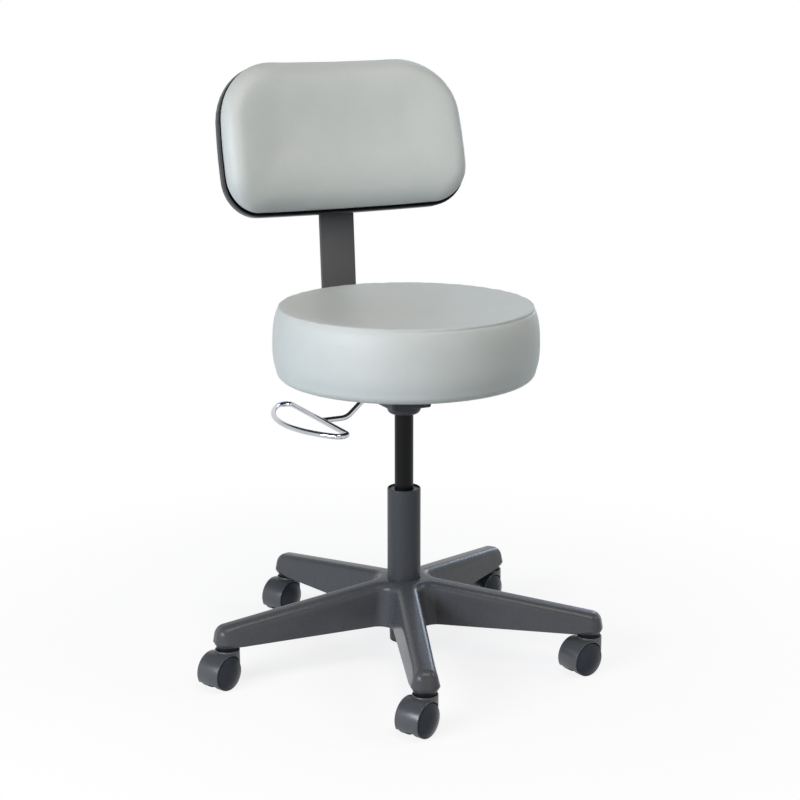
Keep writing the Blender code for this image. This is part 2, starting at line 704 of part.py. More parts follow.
def seat_cushion(carriage):
    """Round pad: dished top inside a rolled seam, bulged sides, and a recess for the board."""
    bead = SEAM_R - SEAM_BEAD
    top = [(bead * share, SEAM_Z - SEAT_DISH * (1 - share ** 2)) for share in (0, 0.45, 0.75, 0.93)]
    seam = [(x, z) for x, z in arc((bead, SEAM_Z - SEAM_BEAD), SEAM_BEAD, math.pi / 2, 0, 3)]
    low = SEAT_Z + SEAT_EDGE
    high = SEAM_Z - SEAM_BEAD
    side = []
    for share in (0.2, 0.4, 0.6, 0.8):
        straight = SEAM_R + (SEAT_FOOT_R - SEAM_R) * share
        side.append((straight + SEAT_BULGE * 4 * share * (1 - share), high + (low - high) * share))
    foot = arc((SEAT_FOOT_R - SEAT_EDGE, low), SEAT_EDGE, 0, -math.pi / 2, 3)
    recess = BOARD_R + GAP
    roof = SEAT_Z + BOARD_T + GAP
    profile = top + seam + side + foot + [(recess, SEAT_Z), (recess, roof), (0, roof)]
    turned("seat_cushion", profile, carriage, VINYL, (0, -SEAT_FORWARD, 0), sides=SEAT_ROUND)


def release_lever(pivot):
    """Wire loop on a bent stem, with a cross tube for the pivot pin; its origin is the pivot."""
    arc_x = LOOP_ARC - LOOP_W
    corner_y = math.sqrt((LOOP_ARC - LOOP_CORNER) ** 2 - (arc_x + LOOP_CORNER) ** 2)
    lean = math.atan2(corner_y, arc_x + LOOP_CORNER)
    corner = arc((-LOOP_CORNER, corner_y), LOOP_CORNER, 0, math.pi - lean, 5)
    outer = arc((arc_x, 0), LOOP_ARC, math.pi - lean, math.pi + lean, 10)
    plan = corner + outer[1:-1] + [(x, -y) for x, y in reversed(corner)]
    loop = [(x - LOOP_BAR, y + LOOP_BACK, -LOOP_DROP) for x, y in plan]
    lever = wire("release_lever", loop, LEVER_R, pivot, CHROME, closed=True)
    line = [(-LOOP_BAR, 0, -LOOP_DROP), (-STEM_KNEE, 0, -LOOP_DROP), (-STEM_TOP, 0, 0),
            (LEVER_ARM + LEVER_END, 0, 0)]
    stem = rounded_path(line, (STEM_BEND, STEM_BEND), 4)
    combine(lever, wire("lever_stem", stem, LEVER_R, pivot, None), "UNION")
    across = (math.pi / 2, 0, 0)
    reach = LEVER_TUBE_L / 2
    tube = rod("lever_tube", LEVER_TUBE_R, -reach, reach, pivot, None, turn=across, sides=16)
    combine(lever, tube, "UNION")
    combine(lever, rod("lever_tube_bore", PIN_R + GAP, -2 * reach, 2 * reach, pivot, None,
                       turn=across, sides=16))
    return lever


def valve_button(body):
    """The pin in the gas tube's head that the lever presses down."""
    top = PIVOT_Z - LEVER_R - BUTTON_GAP
    low = GAS_TOP - BUTTON_IN
    crown = BUTTON_R / 2
    profile = [(0, top), (crown, top), (BUTTON_R, top - crown), (BUTTON_R, low), (0, low)]
    turned("valve_button", profile, body, STEEL, sides=12)


# Backrest bar, its two sleeves and clamp knobs
def bar_path():
    """The bar's middle line in Y and Z, from its end under the seat to its top."""
    cos, sin = math.cos(PAD_RECLINE), math.sin(PAD_RECLINE)
    depth = BAR_FRONT + BAR_T / 2

    def on_pad(up):
        return (0, PAD_Y + depth * cos + up * sin, PAD_Z - depth * sin + up * cos)

    kink = on_pad(-BAR_KINK)
    corner = (0, kink[1] - (kink[2] - BAR_Z) * math.tan(BAR_LEAN), BAR_Z)
    end = (0, SLEEVE_FRONT + SLEEVE_STOP + DEPTH_IN, BAR_Z)
    return rounded_path((end, corner, kink, on_pad(BAR_TOP)), (BAR_BEND_R, BAR_KINK_R))


def backrest_bar(body):
    """Flat steel strip, bent under the seat and behind the pad."""
    shape = bmesh.new()
    half = BAR_W / 2
    path = bar_path()
    rows = [[shape.verts.new((x, *point.yz)) for x in (-half, half)] for point in path]
    for lower, upper in zip(rows, rows[1:]):
        shape.faces.new((lower[0], lower[1], upper[1], upper[0]))
    mesh = bpy.data.meshes.new("backrest_bar")
    shape.to_mesh(mesh)
    shape.free()
    bar = add("backrest_bar", mesh, body, PAINTED)
    thick = bar.modifiers.new("thickness", "SOLIDIFY")
    thick.thickness = BAR_T
    thick.offset = 0
    thick.use_even_offset = True


def knob(name, parent, place, turn):
    """Lobed hand knob: its screw runs down through a sleeve's wall from the wall's outer face."""
    head = KNOB_NECK_H + KNOB_H
    soft = KNOB_H / 6
    profile = [
        (0, head),
        (KNOB_R - 2 * soft, head),
        (KNOB_R, head - soft),
        (KNOB_R, KNOB_NECK_H + soft),
        (KNOB_R - soft, KNOB_NECK_H),
        (KNOB_NECK_R, KNOB_NECK_H),
        (KNOB_NECK_R, GAP),
        (KNOB_SCREW_R, GAP),
        (KNOB_SCREW_R, -SLEEVE_WALL),
        (0, -SLEEVE_WALL),
    ]
    made = turned(name, profile, parent, NYLON, place, turn)
    for i in range(KNOB_LOBES):
        angle = 2 * math.pi * i / KNOB_LOBES
        far = KNOB_R + KNOB_SCALLOP / 2
        spot = (far * math.cos(angle), far * math.sin(angle), 0)
        combine(made, rod(f"{name}_scallop_{i + 1}", KNOB_SCALLOP, KNOB_NECK_H - KNOB_SCALLOP,
                          head + KNOB_SCALLOP, made, None, spot, sides=8))


def seat_sleeve(carriage):
    """Rectangular sleeve under the seat plate that the bar slides in."""
    half = SLEEVE_W / 2
    back = SLEEVE_FRONT + SLEEVE_L
    sleeve = block("bar_sleeve", (-half, SLEEVE_FRONT, SLEEVE_LOW), (half, back, SLEEVE_TOP),
                   carriage, PAINTED)
    way = BAR_W / 2 + GAP
    combine(sleeve, block("sleeve_way", (-way, SLEEVE_FRONT - GAP, SLEEVE_LOW + SLEEVE_WALL),
                          (way, back + GAP, SLEEVE_TOP - SLEEVE_WALL), carriage, None))
    hole = rod("sleeve_hole", KNOB_SCREW_R + GAP, SLEEVE_LOW - SLEEVE_WALL,
               SLEEVE_LOW + SLEEVE_WALL + GAP, carriage, None,
               (0, SLEEVE_FRONT + KNOB_PLACE, 0), sides=16)
    combine(sleeve, hole)


def height_sleeve(back):
    """Flanged sleeve on the pad's shell that rides up and down the bar."""
    half = FLANGE_H / 2
    way = BAR_W / 2 + GAP
    hat = way + SLEEVE_WALL
    rear = HAT_BACK - SLEEVE_WALL
    front = FLANGE_Y + FLANGE_T
    sleeve = block("height_sleeve", (-FLANGE_W / 2, FLANGE_Y, -half), (FLANGE_W / 2, front, half),
                   back, PAINTED)
    combine(sleeve, block("sleeve_hat", (-hat, front - FLANGE_T / 2, -half), (hat, HAT_BACK, half),
                          back, None), "UNION")
    combine(sleeve, block("hat_way", (-way, front, -half - GAP), (way, rear, half + GAP), back,
                          None))
    hole = rod("hat_hole", KNOB_SCREW_R + GAP, rear - GAP, HAT_BACK + SLEEVE_WALL, back, None,
               turn=(-math.pi / 2, 0, 0), sides=16)
    combine(sleeve, hole)
    return sleeve


# Backrest pad, in the pad's own axes: X across, Y backwards, Z up the pad
def pad_outline(inset):
    """The pad's outline drawn in by an inset, from its right-hand middle, anticlockwise."""
    quarter = math.pi / 2

    def half_width(up):
        share = up / PAD_H + 0.5
        straight = PAD_BOTTOM_W + (PAD_TOP_W - PAD_BOTTOM_W) * share
        return straight / 2 + PAD_BOW * (1 - (2 * share - 1) ** 2) - inset

    def quadrant(sign, radius):
        high = PAD_H / 2 - inset
        radius = max(radius - inset, high / 4)
        level = high - radius
        middle = half_width(sign * level) - radius
        points = [(half_width(sign * level * i / 2), sign * level * i / 2) for i in range(2)]
        points += [(x, sign * y) for x, y in arc((middle, level), radius, 0, quarter, 5)]
        points += [(middle * (1 - i / 3), sign * high) for i in range(1, 3)]
        return points

    upper = quadrant(1, PAD_TOP_R)
    lower = quadrant(-1, PAD_BOTTOM_R)
    top = upper + [(0, PAD_H / 2 - inset)] + [(-x, y) for x, y in reversed(upper)]
    bottom = lower + [(0, inset - PAD_H / 2)] + [(-x, y) for x, y in reversed(lower)]
    return top + bottom[-2:0:-1]


def pad_ring(inset, depth, level=False):
    """A ring of the pad at a depth behind its edge plane, bent round the sitter or left level."""
    bend = 0 if level else 1 / (2 * PAD_BEND_R)
    return [(x, depth - bend * x * x, z) for x, z in pad_outline(inset)]


def back_cushion(back):
    """Pillow front with rolled edges and a slightly hollow middle."""
    rings = [pad_ring(PAD_TUCK, PAD_REAR), pad_ring(0, 0)]
    for i in range(1, 5):
        turn = math.pi / 2 * i / 4
        rings.append(pad_ring(PAD_ROLL_W * (1 - math.cos(turn)), -PAD_ROLL_D * math.sin(turn)))
    half = PAD_H / 2
    for share in (0.25, 0.6):
        inset = PAD_ROLL_W + (half - PAD_ROLL_W) * share
        rings.append(pad_ring(inset, PAD_DISH * share - PAD_ROLL_D))
    skinned("back_cushion", rings, back, VINYL)


def back_board(back):
    """Moulded plywood between the cushion and the shell."""
    rings = [pad_ring(BACK_BOARD_IN, depth) for depth in (BOARD_Y, BOARD_Y + BACK_BOARD_T)]
    return skinned("back_board", rings, back, PLYWOOD)


def back_shell(back):
    """Plastic cover: straight rim, rounded to a flat middle, with bosses down to the board."""
    rim = PAD_REAR + GAP
    turn = rim + SHELL_RIM
    deep = SHELL_DEPTH - turn
    stations = [(SHELL_IN, rim, 0), (SHELL_IN, turn, 0)]
    for share, rise in ((0.06, 0.25), (0.2, 0.5), (0.5, 0.8)):
        stations.append((SHELL_IN + SHELL_FLAT * share, turn + deep * rise, rise * math.pi / 2))
    outside = [pad_ring(inset, depth) for inset, depth, lie in stations]
    inside = [pad_ring(inset + SHELL_T * math.cos(lie), depth - SHELL_T * math.sin(lie))
              for inset, depth, lie in stations]
    flat = SHELL_IN + SHELL_FLAT
    outside.append(pad_ring(flat, SHELL_DEPTH, level=True))
    inside.append(pad_ring(flat, SHELL_DEPTH - SHELL_T, level=True))
    rings = [[(x, y, z - SHELL_DROP) for x, y, z in line] for line in outside[::-1] + inside]
    return skinned("back_shell", rings, back, SHELL_PLASTIC)


def back_fixings(back, sleeve, shell, board):
    """Four screws through the sleeve's flange and the shell's bosses into the board."""
    aim = (-math.pi / 2, 0, 0)
    board_back = BOARD_Y + BACK_BOARD_T
    head = FLANGE_Y + FLANGE_T + GAP
    tip = BOARD_Y + BACK_BOARD_T / 4
    screw = [(0, head + SCREW_HEAD_H), (SCREW_HEAD_R, head + SCREW_HEAD_H), (SCREW_HEAD_R, head),
             (SCREW_R, head), (SCREW_R, tip), (0, tip)]
    near = SCREW_ACROSS - BOSS_R
    boss_low = board_back + GAP - near * near / (2 * PAD_BEND_R)
    places = [(x, z) for z in (SCREW_UP, -SCREW_UP) for x in (-SCREW_ACROSS, SCREW_ACROSS)]
    for i, (x, z) in enumerate(places):
        spot = (x, 0, z)
        boss = rod(f"boss_{i + 1}", BOSS_R, boss_low, SHELL_DEPTH - SHELL_T / 2, back, None, spot,
                   aim, 12)
        combine(shell, boss, "UNION")
    for i, (x, z) in enumerate(places):
        spot = (x, 0, z)
        hole = rod(f"screw_hole_{i + 1}", SCREW_R + GAP, tip - GAP, head + SCREW_HEAD_H, back, None,
                   spot, aim, 12)
        for piece in (sleeve, shell, board):
            combine(piece, hole)
        turned(f"back_screw_{i + 1}", screw, back, STEEL, spot, aim, 12)


# Casters, in their own axes: the stem on Z, the axle behind it along Y
def hood_mesh():
    """Hood: a barrel over the wheels and a collar round the stem, hollowed for wheels and pins."""
    axle = (-TRAIL, 0, WHEEL_R)
    across = (math.pi / 2, 0, 0)
    half = HOOD_W / 2
    hood = rod("hood_barrel", HOOD_R, -half, half, None, None, axle, across, HOOD_ROUND)
    low = CASTER_H - COLLAR_H
    combine(hood, rod("hood_collar", COLLAR_R, low - HOOD_T, CASTER_H, None, None), "UNION")
    for side in (-1, 1):
        near, far = sorted((side * WEB_T / 2, side * HOOD_W))
        combine(hood, rod("wheel_room", WHEEL_R + HOOD_CLEAR, near, far, None, None, axle, across,
                          HOOD_ROUND))
    reach = 2 * (HOOD_R + TRAIL)
    combine(hood, block("floor_room", (-reach, -HOOD_W, -HOOD_R), (reach, HOOD_W, HOOD_FLOOR),
                        None, None))
    combine(hood, block("toe_room", (WEB_R - TRAIL, -HOOD_W, -HOOD_R), (reach, HOOD_W, low), None,
                        None))
    aside = (0, 0, math.pi / ROUND)
    combine(hood, rod("pivot_hole", PIVOT_R + GAP, CASTER_H - PIVOT_L - GAP, CASTER_H + GAP, None,
                      None, turn=aside, sides=12))
    combine(hood, rod("axle_hole", AXLE_R + GAP, -HOOD_W, HOOD_W, None, None, axle, across, 12))
    mesh = baked(hood)
    mesh.transform(hood.matrix_world)
    return mesh


def wheel_mesh():
    """A wheel along Z, its domed face up, with a blind bore for the axle."""
    inner = WEB_T / 2 + GAP
    edge = WHEEL_FACE
    crown = edge + WHEEL_DOME
    bore = AXLE_R + GAP
    roof = crown - WHEEL_COVER
    profile = [(0, crown), (WHEEL_R * 0.5, edge + WHEEL_DOME * 0.75),
               (WHEEL_R - WHEEL_EDGE * 0.6, edge)]
    profile += arc((WHEEL_R - WHEEL_EDGE, edge - WHEEL_EDGE), WHEEL_EDGE, math.pi / 5, 0, 1)
    profile += [(WHEEL_R, inner), (bore, inner), (bore, roof), (0, roof)]
    made = turned("wheel", profile, None, None, sides=20)
    return baked(made)


def caster(number, root, hood, wheel):
    """One caster: stem in the leg, hood on the stem, axle and two wheels in the hood."""
    angle = FIRST_LEG + (number - 1) * LEG_STEP
    place = (STEM_CIRCLE * math.cos(angle), STEM_CIRCLE * math.sin(angle), 0)
    neck = CASTER_H + GAP
    top = neck + NECK_H + STEM_H
    low = CASTER_H - PIVOT_L
    stem = [(0, top), (STEM_R, top), (STEM_R, neck + NECK_H), (NECK_R, neck + NECK_H),
            (NECK_R, neck), (PIVOT_R, neck), (PIVOT_R, low), (0, low)]
    turned(f"caster_stem_{number}", stem, root, BLACK_STEEL, place, sides=12)
    heading = math.radians(CASTER_HEADINGS[number - 1])
    swivel = empty(f"caster_{number}", root, place, (0, 0, heading))
    add(f"caster_hood_{number}", hood, swivel, NYLON)
    spindle = empty(f"spindle_{number}", swivel, (-TRAIL, 0, WHEEL_R))
    reach = WHEEL_FACE + WHEEL_DOME - WHEEL_COVER - GAP
    across = (math.pi / 2, 0, 0)
    rod(f"caster_axle_{number}", AXLE_R, -reach, reach, spindle, STEEL, (0, 0, 0), across, 12)
    for side, sign in (("left", 1), ("right", -1)):
        add(f"caster_wheel_{number}_{side}", wheel, spindle, TREAD,
            turn=(-sign * math.pi / 2, 0, 0))


def exam_stool():
    """Place every body on its joint axis and build its pieces there."""
    root = empty("stool", None, (AXIS_X, AXIS_Y, 0))
    rod_body = empty("seat_swivel", root)
    carriage = empty("seat_lift", rod_body)
    star_base(root)
    column(root, rod_body, carriage)
    mechanism(carriage)
    seat_cushion(carriage)
    valve_button(empty("valve_slide", carriage))
    release_lever(empty("lever_pivot", carriage, (-LEVER_ARM, 0, PIVOT_Z)))

    bar_body = empty("bar_slide", carriage)
    backrest_bar(bar_body)
    seat_sleeve(carriage)
    knob("depth_knob", carriage, (0, SLEEVE_FRONT + KNOB_PLACE, SLEEVE_LOW), (math.pi, 0, 0))

    back = empty("pad_slide", bar_body, (0, PAD_Y, PAD_Z), (-PAD_RECLINE, 0, 0))
    back_cushion(back)
    back_fixings(back, height_sleeve(back), back_shell(back), back_board(back))
    knob("height_knob", back, (0, HAT_BACK, 0), (-math.pi / 2, 0, 0))

    hood = hood_mesh()
    wheel = wheel_mesh()
    for number in range(1, LEGS + 1):
        caster(number, root, hood, wheel)


exam_stool()
print("pieces:", sum(1 for piece in parts.objects if piece.type == "MESH"))
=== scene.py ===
# %% [markdown]
# # An exam stool with a backrest
#
# A clinic stool: a five-leg plastic base on twin-wheel casters, a gas spring, a round
# upholstered seat, and a small padded back on a bent steel bar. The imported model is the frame:
# it holds the bodies, their joints and plain solids, all in metres. This lesson dresses that
# frame. Each new piece is built where its solid is and rides on the same body, so the stool
# still swivels, rises and rolls.

# %% Load the frame
import json
import math

import bmesh
import bpy
from mathutils import Matrix, Vector


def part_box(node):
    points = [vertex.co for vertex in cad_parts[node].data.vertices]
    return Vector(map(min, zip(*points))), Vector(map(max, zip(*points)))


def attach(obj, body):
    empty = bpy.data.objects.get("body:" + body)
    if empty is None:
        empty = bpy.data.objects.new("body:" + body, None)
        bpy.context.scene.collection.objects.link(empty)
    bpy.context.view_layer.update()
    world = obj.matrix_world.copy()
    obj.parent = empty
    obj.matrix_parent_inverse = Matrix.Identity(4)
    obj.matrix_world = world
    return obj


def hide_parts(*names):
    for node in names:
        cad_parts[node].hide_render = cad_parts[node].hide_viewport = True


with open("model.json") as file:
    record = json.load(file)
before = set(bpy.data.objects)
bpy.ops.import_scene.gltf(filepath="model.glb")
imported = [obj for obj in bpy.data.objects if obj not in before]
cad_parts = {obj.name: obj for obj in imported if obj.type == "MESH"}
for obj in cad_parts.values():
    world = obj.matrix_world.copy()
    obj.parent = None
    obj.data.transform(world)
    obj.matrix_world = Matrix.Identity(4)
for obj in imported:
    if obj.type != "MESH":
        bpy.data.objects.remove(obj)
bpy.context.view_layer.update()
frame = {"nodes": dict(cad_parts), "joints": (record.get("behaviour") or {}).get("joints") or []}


# %% [markdown]
# ## Places taken from the frame
#
# A node's box says where it is, so heights and middles are read from boxes and not typed again.
# The pad leans back, and its slide joint gives the lean.

# %% Places
def middle(node):
    """The middle of a node's box."""
    low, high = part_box(node)
    return (low + high) / 2


def joint(name):
    """A joint of the frame by its name."""
    return next(one for one in frame["joints"] if one["name"] == name)


LEGS = 5
column_axis = middle("column_tube").xy.to_3d()
stems = [middle(f"caster_stem_{n + 1}").xy.to_3d() for n in range(LEGS)]
leg_reach = (stems[0] - column_axis).length
first_leg = math.atan2(*(stems[0] - column_axis).yx)
print("column axis:", column_axis.xy, "leg reach:", round(leg_reach, 4))

# %% [markdown]
# ## Camera
#
# The stool is seen from the front left and a little above. A long lens keeps its uprights
# nearly parallel, as a catalogue picture does.

# %% Camera
VIEW_TURN = math.radians(26.7)
VIEW_DOWN = math.radians(13.7)
VIEW_DISTANCE = 2.597
VIEW_HEIGHT = 1.035
FOCAL_PIXELS = 1807
FRAME_PIXELS = 800
SENSOR = 36
LENS_SHIFT = -0.005

lens = bpy.data.cameras.new("catalogue_lens")
lens.sensor_width = SENSOR
lens.lens = FOCAL_PIXELS / FRAME_PIXELS * SENSOR
lens.shift_x = LENS_SHIFT
camera = bpy.data.objects.new("catalogue_camera", lens)
bpy.context.scene.collection.objects.link(camera)
camera.location = column_axis + Vector((-VIEW_DISTANCE * math.sin(VIEW_TURN),
                                        -VIEW_DISTANCE * math.cos(VIEW_TURN), VIEW_HEIGHT))
camera.rotation_euler = (math.pi / 2 - VIEW_DOWN, 0, -VIEW_TURN)
bpy.context.scene.camera = camera
bpy.context.scene.view_settings.view_transform = "Standard"
print("lens:", round(lens.lens, 1), "mm")


# %% [markdown]
# ## Colours and nodes
#
# Colours are written as sRGB hex, the way a paint card gives them, and one function turns them
# to the linear values that shaders work in. One more function adds a node with its settings and
# links, so that a finish reads as a short list.

# %% Colours and nodes
def linear(colour):
    """An sRGB hex colour as linear red, green, blue and alpha."""
    shares = [int(colour[i:i + 2], 16) / 255 for i in (1, 3, 5)]
    return [s / 12.92 if s <= 0.04045 else ((s + 0.055) / 1.055) ** 2.4 for s in shares] + [1.0]


def add_node(tree, kind, sockets=None, links=None, **settings):
    """Add a node: settings are its properties, sockets its input values, links its inputs."""
    made = tree.nodes.new(kind)
    for name, value in settings.items():
        setattr(made, name, value)
    for name, value in (sockets or {}).items():
        made.inputs[name].default_value = value
    for name, output in (links or {}).items():
        tree.links.new(output, made.inputs[name])
    return made


print("white is", linear("#FFFFFF"))

# %% [markdown]
# ## Studio
#
# The floor is pale and the walls are white. Camera and mirror rays see plain white, and other
# rays meet a dimmer room, so the background stays white without flooding the stool with light.
# Only mirror rays find the dark ceiling above the walls, which draws the dark lines in the chrome.
# The floor lets part of its own shading through near the stool, which keeps the shadow, and it
# is clear from below, so that the underside can be looked at.

# %% Rays of the eye
def rays_of_the_eye(tree):
    """Light paths, and a node that is 1 for camera, mirror and glass rays."""
    rays = add_node(tree, "ShaderNodeLightPath")
    sees = add_node(tree, "ShaderNodeMath", operation="MAXIMUM",
                    links={0: rays.outputs["Is Camera Ray"], 1: rays.outputs["Is Glossy Ray"]})
    sees = add_node(tree, "ShaderNodeMath", operation="MAXIMUM",
                    links={0: sees.outputs[0], 1: rays.outputs["Is Transmission Ray"]})
    return rays, sees


# %% Room
ROOM_LIGHT = 0.05          # how bright the room is to everything but the eye
WALL_TOP = 0.35            # white walls up to 20 degrees above the horizon, as a sine
CEILING = 0.62             # dark ceiling from 38 degrees up
world = bpy.data.worlds.new("white_room")
world.use_nodes = True
bpy.context.scene.world = world
room = world.node_tree
room.nodes.remove(room.nodes["Background"])
rays, sees = rays_of_the_eye(room)
dim = add_node(room, "ShaderNodeBackground", {"Color": linear("#E4EBF5"), "Strength": ROOM_LIGHT})
toward = add_node(room, "ShaderNodeTexCoord").outputs["Generated"]
height = add_node(room, "ShaderNodeSeparateXYZ", links={0: toward}).outputs["Z"]
above = add_node(room, "ShaderNodeMapRange", {"From Min": WALL_TOP, "From Max": CEILING},
                 {"Value": height}, interpolation_type="SMOOTHSTEP")
hidden = add_node(room, "ShaderNodeMath", operation="MULTIPLY",
                  links={0: above.outputs[0], 1: rays.outputs["Is Glossy Ray"]})
wall = add_node(room, "ShaderNodeMix", {6: linear("#FFFFFF"), 7: linear("#34373D")},
                {0: hidden.outputs[0]}, data_type="RGBA")
bright = add_node(room, "ShaderNodeBackground", {"Strength": 1.0}, {"Color": wall.outputs[2]})
both = add_node(room, "ShaderNodeMixShader", links={0: sees.outputs[0], 1: dim.outputs[0],
                                                    2: bright.outputs[0]})
room.links.new(both.outputs[0], room.nodes["World Output"].inputs["Surface"])
print("room light:", ROOM_LIGHT)

# %% Floor
FLOOR_R = 6.0
SHADOW_R = 1.1             # past this the floor is plain white to the eye
SHADOW_SHARE = 0.20        # how much of the floor's own shading shows near the stool

shape = bmesh.new()
bmesh.ops.create_circle(shape, cap_ends=True, radius=FLOOR_R, segments=96)
mesh = bpy.data.meshes.new("studio_floor")
shape.to_mesh(mesh)
shape.free()
floor = bpy.data.objects.new("studio_floor", mesh)
bpy.context.scene.collection.objects.link(floor)
pale = bpy.data.materials.new("pale_floor")
pale.use_nodes = True
tree = pale.node_tree
tree.nodes.remove(tree.nodes["Principled BSDF"])
rays, sees = rays_of_the_eye(tree)
place = add_node(tree, "ShaderNodeTexCoord").outputs["Object"]
far = add_node(tree, "ShaderNodeVectorMath", operation="LENGTH", links={0: place})
white = add_node(tree, "ShaderNodeMapRange", {"From Max": SHADOW_R, "To Min": 1 - SHADOW_SHARE},
                 {"Value": far.outputs["Value"]}, interpolation_type="SMOOTHSTEP")
share = add_node(tree, "ShaderNodeMath", operation="MULTIPLY",
                 links={0: sees.outputs[0], 1: white.outputs[0]})
tint = add_node(tree, "ShaderNodeMix", {6: linear("#C4C6C7"), 7: linear("#FFFFFF")},
                {0: sees.outputs[0]}, data_type="RGBA")
ground = add_node(tree, "ShaderNodeBsdfDiffuse", links={"Color": tint.outputs[2]})
glow = add_node(tree, "ShaderNodeEmission", {"Color": linear("#FFFFFF"), "Strength": 1.0})
both = add_node(tree, "ShaderNodeMixShader", links={0: share.outputs[0], 1: ground.outputs[0],
                                                    2: glow.outputs[0]})
below = add_node(tree, "ShaderNodeNewGeometry").outputs["Backfacing"]
clear = add_node(tree, "ShaderNodeBsdfTransparent")
seen = add_node(tree, "ShaderNodeMixShader", links={0: below, 1: both.outputs[0],
                                                    2: clear.outputs[0]})
tree.links.new(seen.outputs[0], tree.nodes["Material Output"].inputs["Surface"])
mesh.materials.append(pale)
print("floor:", 2 * FLOOR_R, "m across")


# %% [markdown]
# ## Lamps
#
# A wide soft lamp stands at the front left and lights the left of the seat and every left
# face. A warm one above the camera fills the top of the seat, and a weaker one stands far round
# to the right, so that side falls into shade. Two cool lamps behind draw thin bright edges.

# %% Lamps
LAMP_DISTANCE = 2.6
AIM_HEIGHT = 0.5           # lamps are aimed just under the seat


def softbox(name, turn, rise, wide, tall, watts, colour):
    """A lamp aimed at the seat; turn is from the camera's side, to the right of it."""
    lamp = bpy.data.lights.new(name, "AREA")
    lamp.shape = "RECTANGLE"
    lamp.size = wide
    lamp.size_y = tall
    lamp.energy = watts
    lamp.color = linear(colour)[:3]
    made = bpy.data.objects.new(name, lamp)
    bpy.context.scene.collection.objects.link(made)
    side = VIEW_TURN - math.radians(turn)
    lift = math.radians(rise)
    away = Vector((-math.sin(side) * math.cos(lift), -math.cos(side) * math.cos(lift),
                   math.sin(lift)))
    made.location = column_axis + Vector((0, 0, AIM_HEIGHT)) + away * LAMP_DISTANCE
    made.rotation_euler = away.to_track_quat("Z", "Y").to_euler()
    return made


softbox("key_lamp", -43, 17, 1.8, 0.8, 65, "#F0F5FF")
softbox("top_lamp", 12, 60, 1.1, 1.1, 27, "#FFEBDA")
softbox("right_lamp", 93, 32, 1.1, 1.1, 18, "#EAF5FF")
softbox("edge_lamp", 165, 40, 1.1, 1.1, 10, "#CEE2FF")
softbox("rim_lamp", 155, 6, 0.6, 0.6, 6, "#C6DCFF")


# %% [markdown]
# ## Finishes
#
# Each finish starts from what the real material is and how its surface was made. Patterns are
# sized in metres from the real grain, and where that is finer than a pixel of the picture it is
# drawn as coarse as it needs to show.

# %% Finish
def finish(name, colour, roughness, metallic=0.0):
    """A new material, its node tree, its shader, and the piece's own coordinates in metres."""
    made = bpy.data.materials.new(name)
    made.use_nodes = True
    tree = made.node_tree
    shader = tree.nodes["Principled BSDF"]
    shader.inputs["Base Color"].default_value = linear(colour)
    shader.inputs["Roughness"].default_value = roughness
    shader.inputs["Metallic"].default_value = metallic
    place = add_node(tree, "ShaderNodeTexCoord").outputs["Object"]
    return made, tree, shader, place


def surface(tree, shader, colour=None, roughness=None, normal=None):
    """Link what varies over a surface to its shader."""
    for name, output in (("Base Color", colour), ("Roughness", roughness), ("Normal", normal)):
        if output is not None:
            tree.links.new(output, shader.inputs[name])


print("materials before the finishes:", len(bpy.data.materials))

# %% [markdown]
# Upholstery vinyl is a soft skin of PVC on cloth, embossed with a fine leather grain. It gives
# a broad weak shine, and its colour drifts a little where it is stretched.

# %% Vinyl
VINYL_GRAIN = 0.0021       # real grain is about 1 mm: drawn twice as coarse to show
VINYL_DRIFT = 0.070        # colour drifts over about a hand's width


def embossed_vinyl():
    made, tree, shader, place = finish("embossed_grey_vinyl", "#BFC5C1", 0.46)
    shader.inputs["Specular IOR Level"].default_value = 0.35
    grain = add_node(tree, "ShaderNodeTexVoronoi", {"Scale": 1 / VINYL_GRAIN, "Randomness": 0.9},
                     {"Vector": place})
    drift = add_node(tree, "ShaderNodeTexNoise", {"Scale": 1 / VINYL_DRIFT, "Detail": 2.0},
                     {"Vector": place})
    tint = add_node(tree, "ShaderNodeMix", {6: linear("#BAC1BD"), 7: linear("#C4C9C5")},
                    {0: drift.outputs["Fac"]}, data_type="RGBA")
    shine = add_node(tree, "ShaderNodeMapRange", {"To Min": 0.40, "To Max": 0.54},
                     {"Value": grain.outputs["Distance"]})
    relief = add_node(tree, "ShaderNodeBump", {"Strength": 0.45, "Distance": VINYL_GRAIN / 4},
                      {"Height": grain.outputs["Distance"]})
    surface(tree, shader, tint.outputs[2], shine.outputs[0], relief.outputs[0])
    return made


VINYL = embossed_vinyl()
print("made", VINYL.name)

# %% [markdown]
# Glass-filled nylon is moulded in a spark-eroded tool, so its skin is satin with a very fine
# stipple. The melt's flow leaves faint clouds in its tone, which keep it from looking flat.

# %% Nylon
STIPPLE = 0.0016           # real stipple is about 0.2 mm: drawn coarser to show
FLOW = 0.020               # faint clouds from the melt's flow in the mould


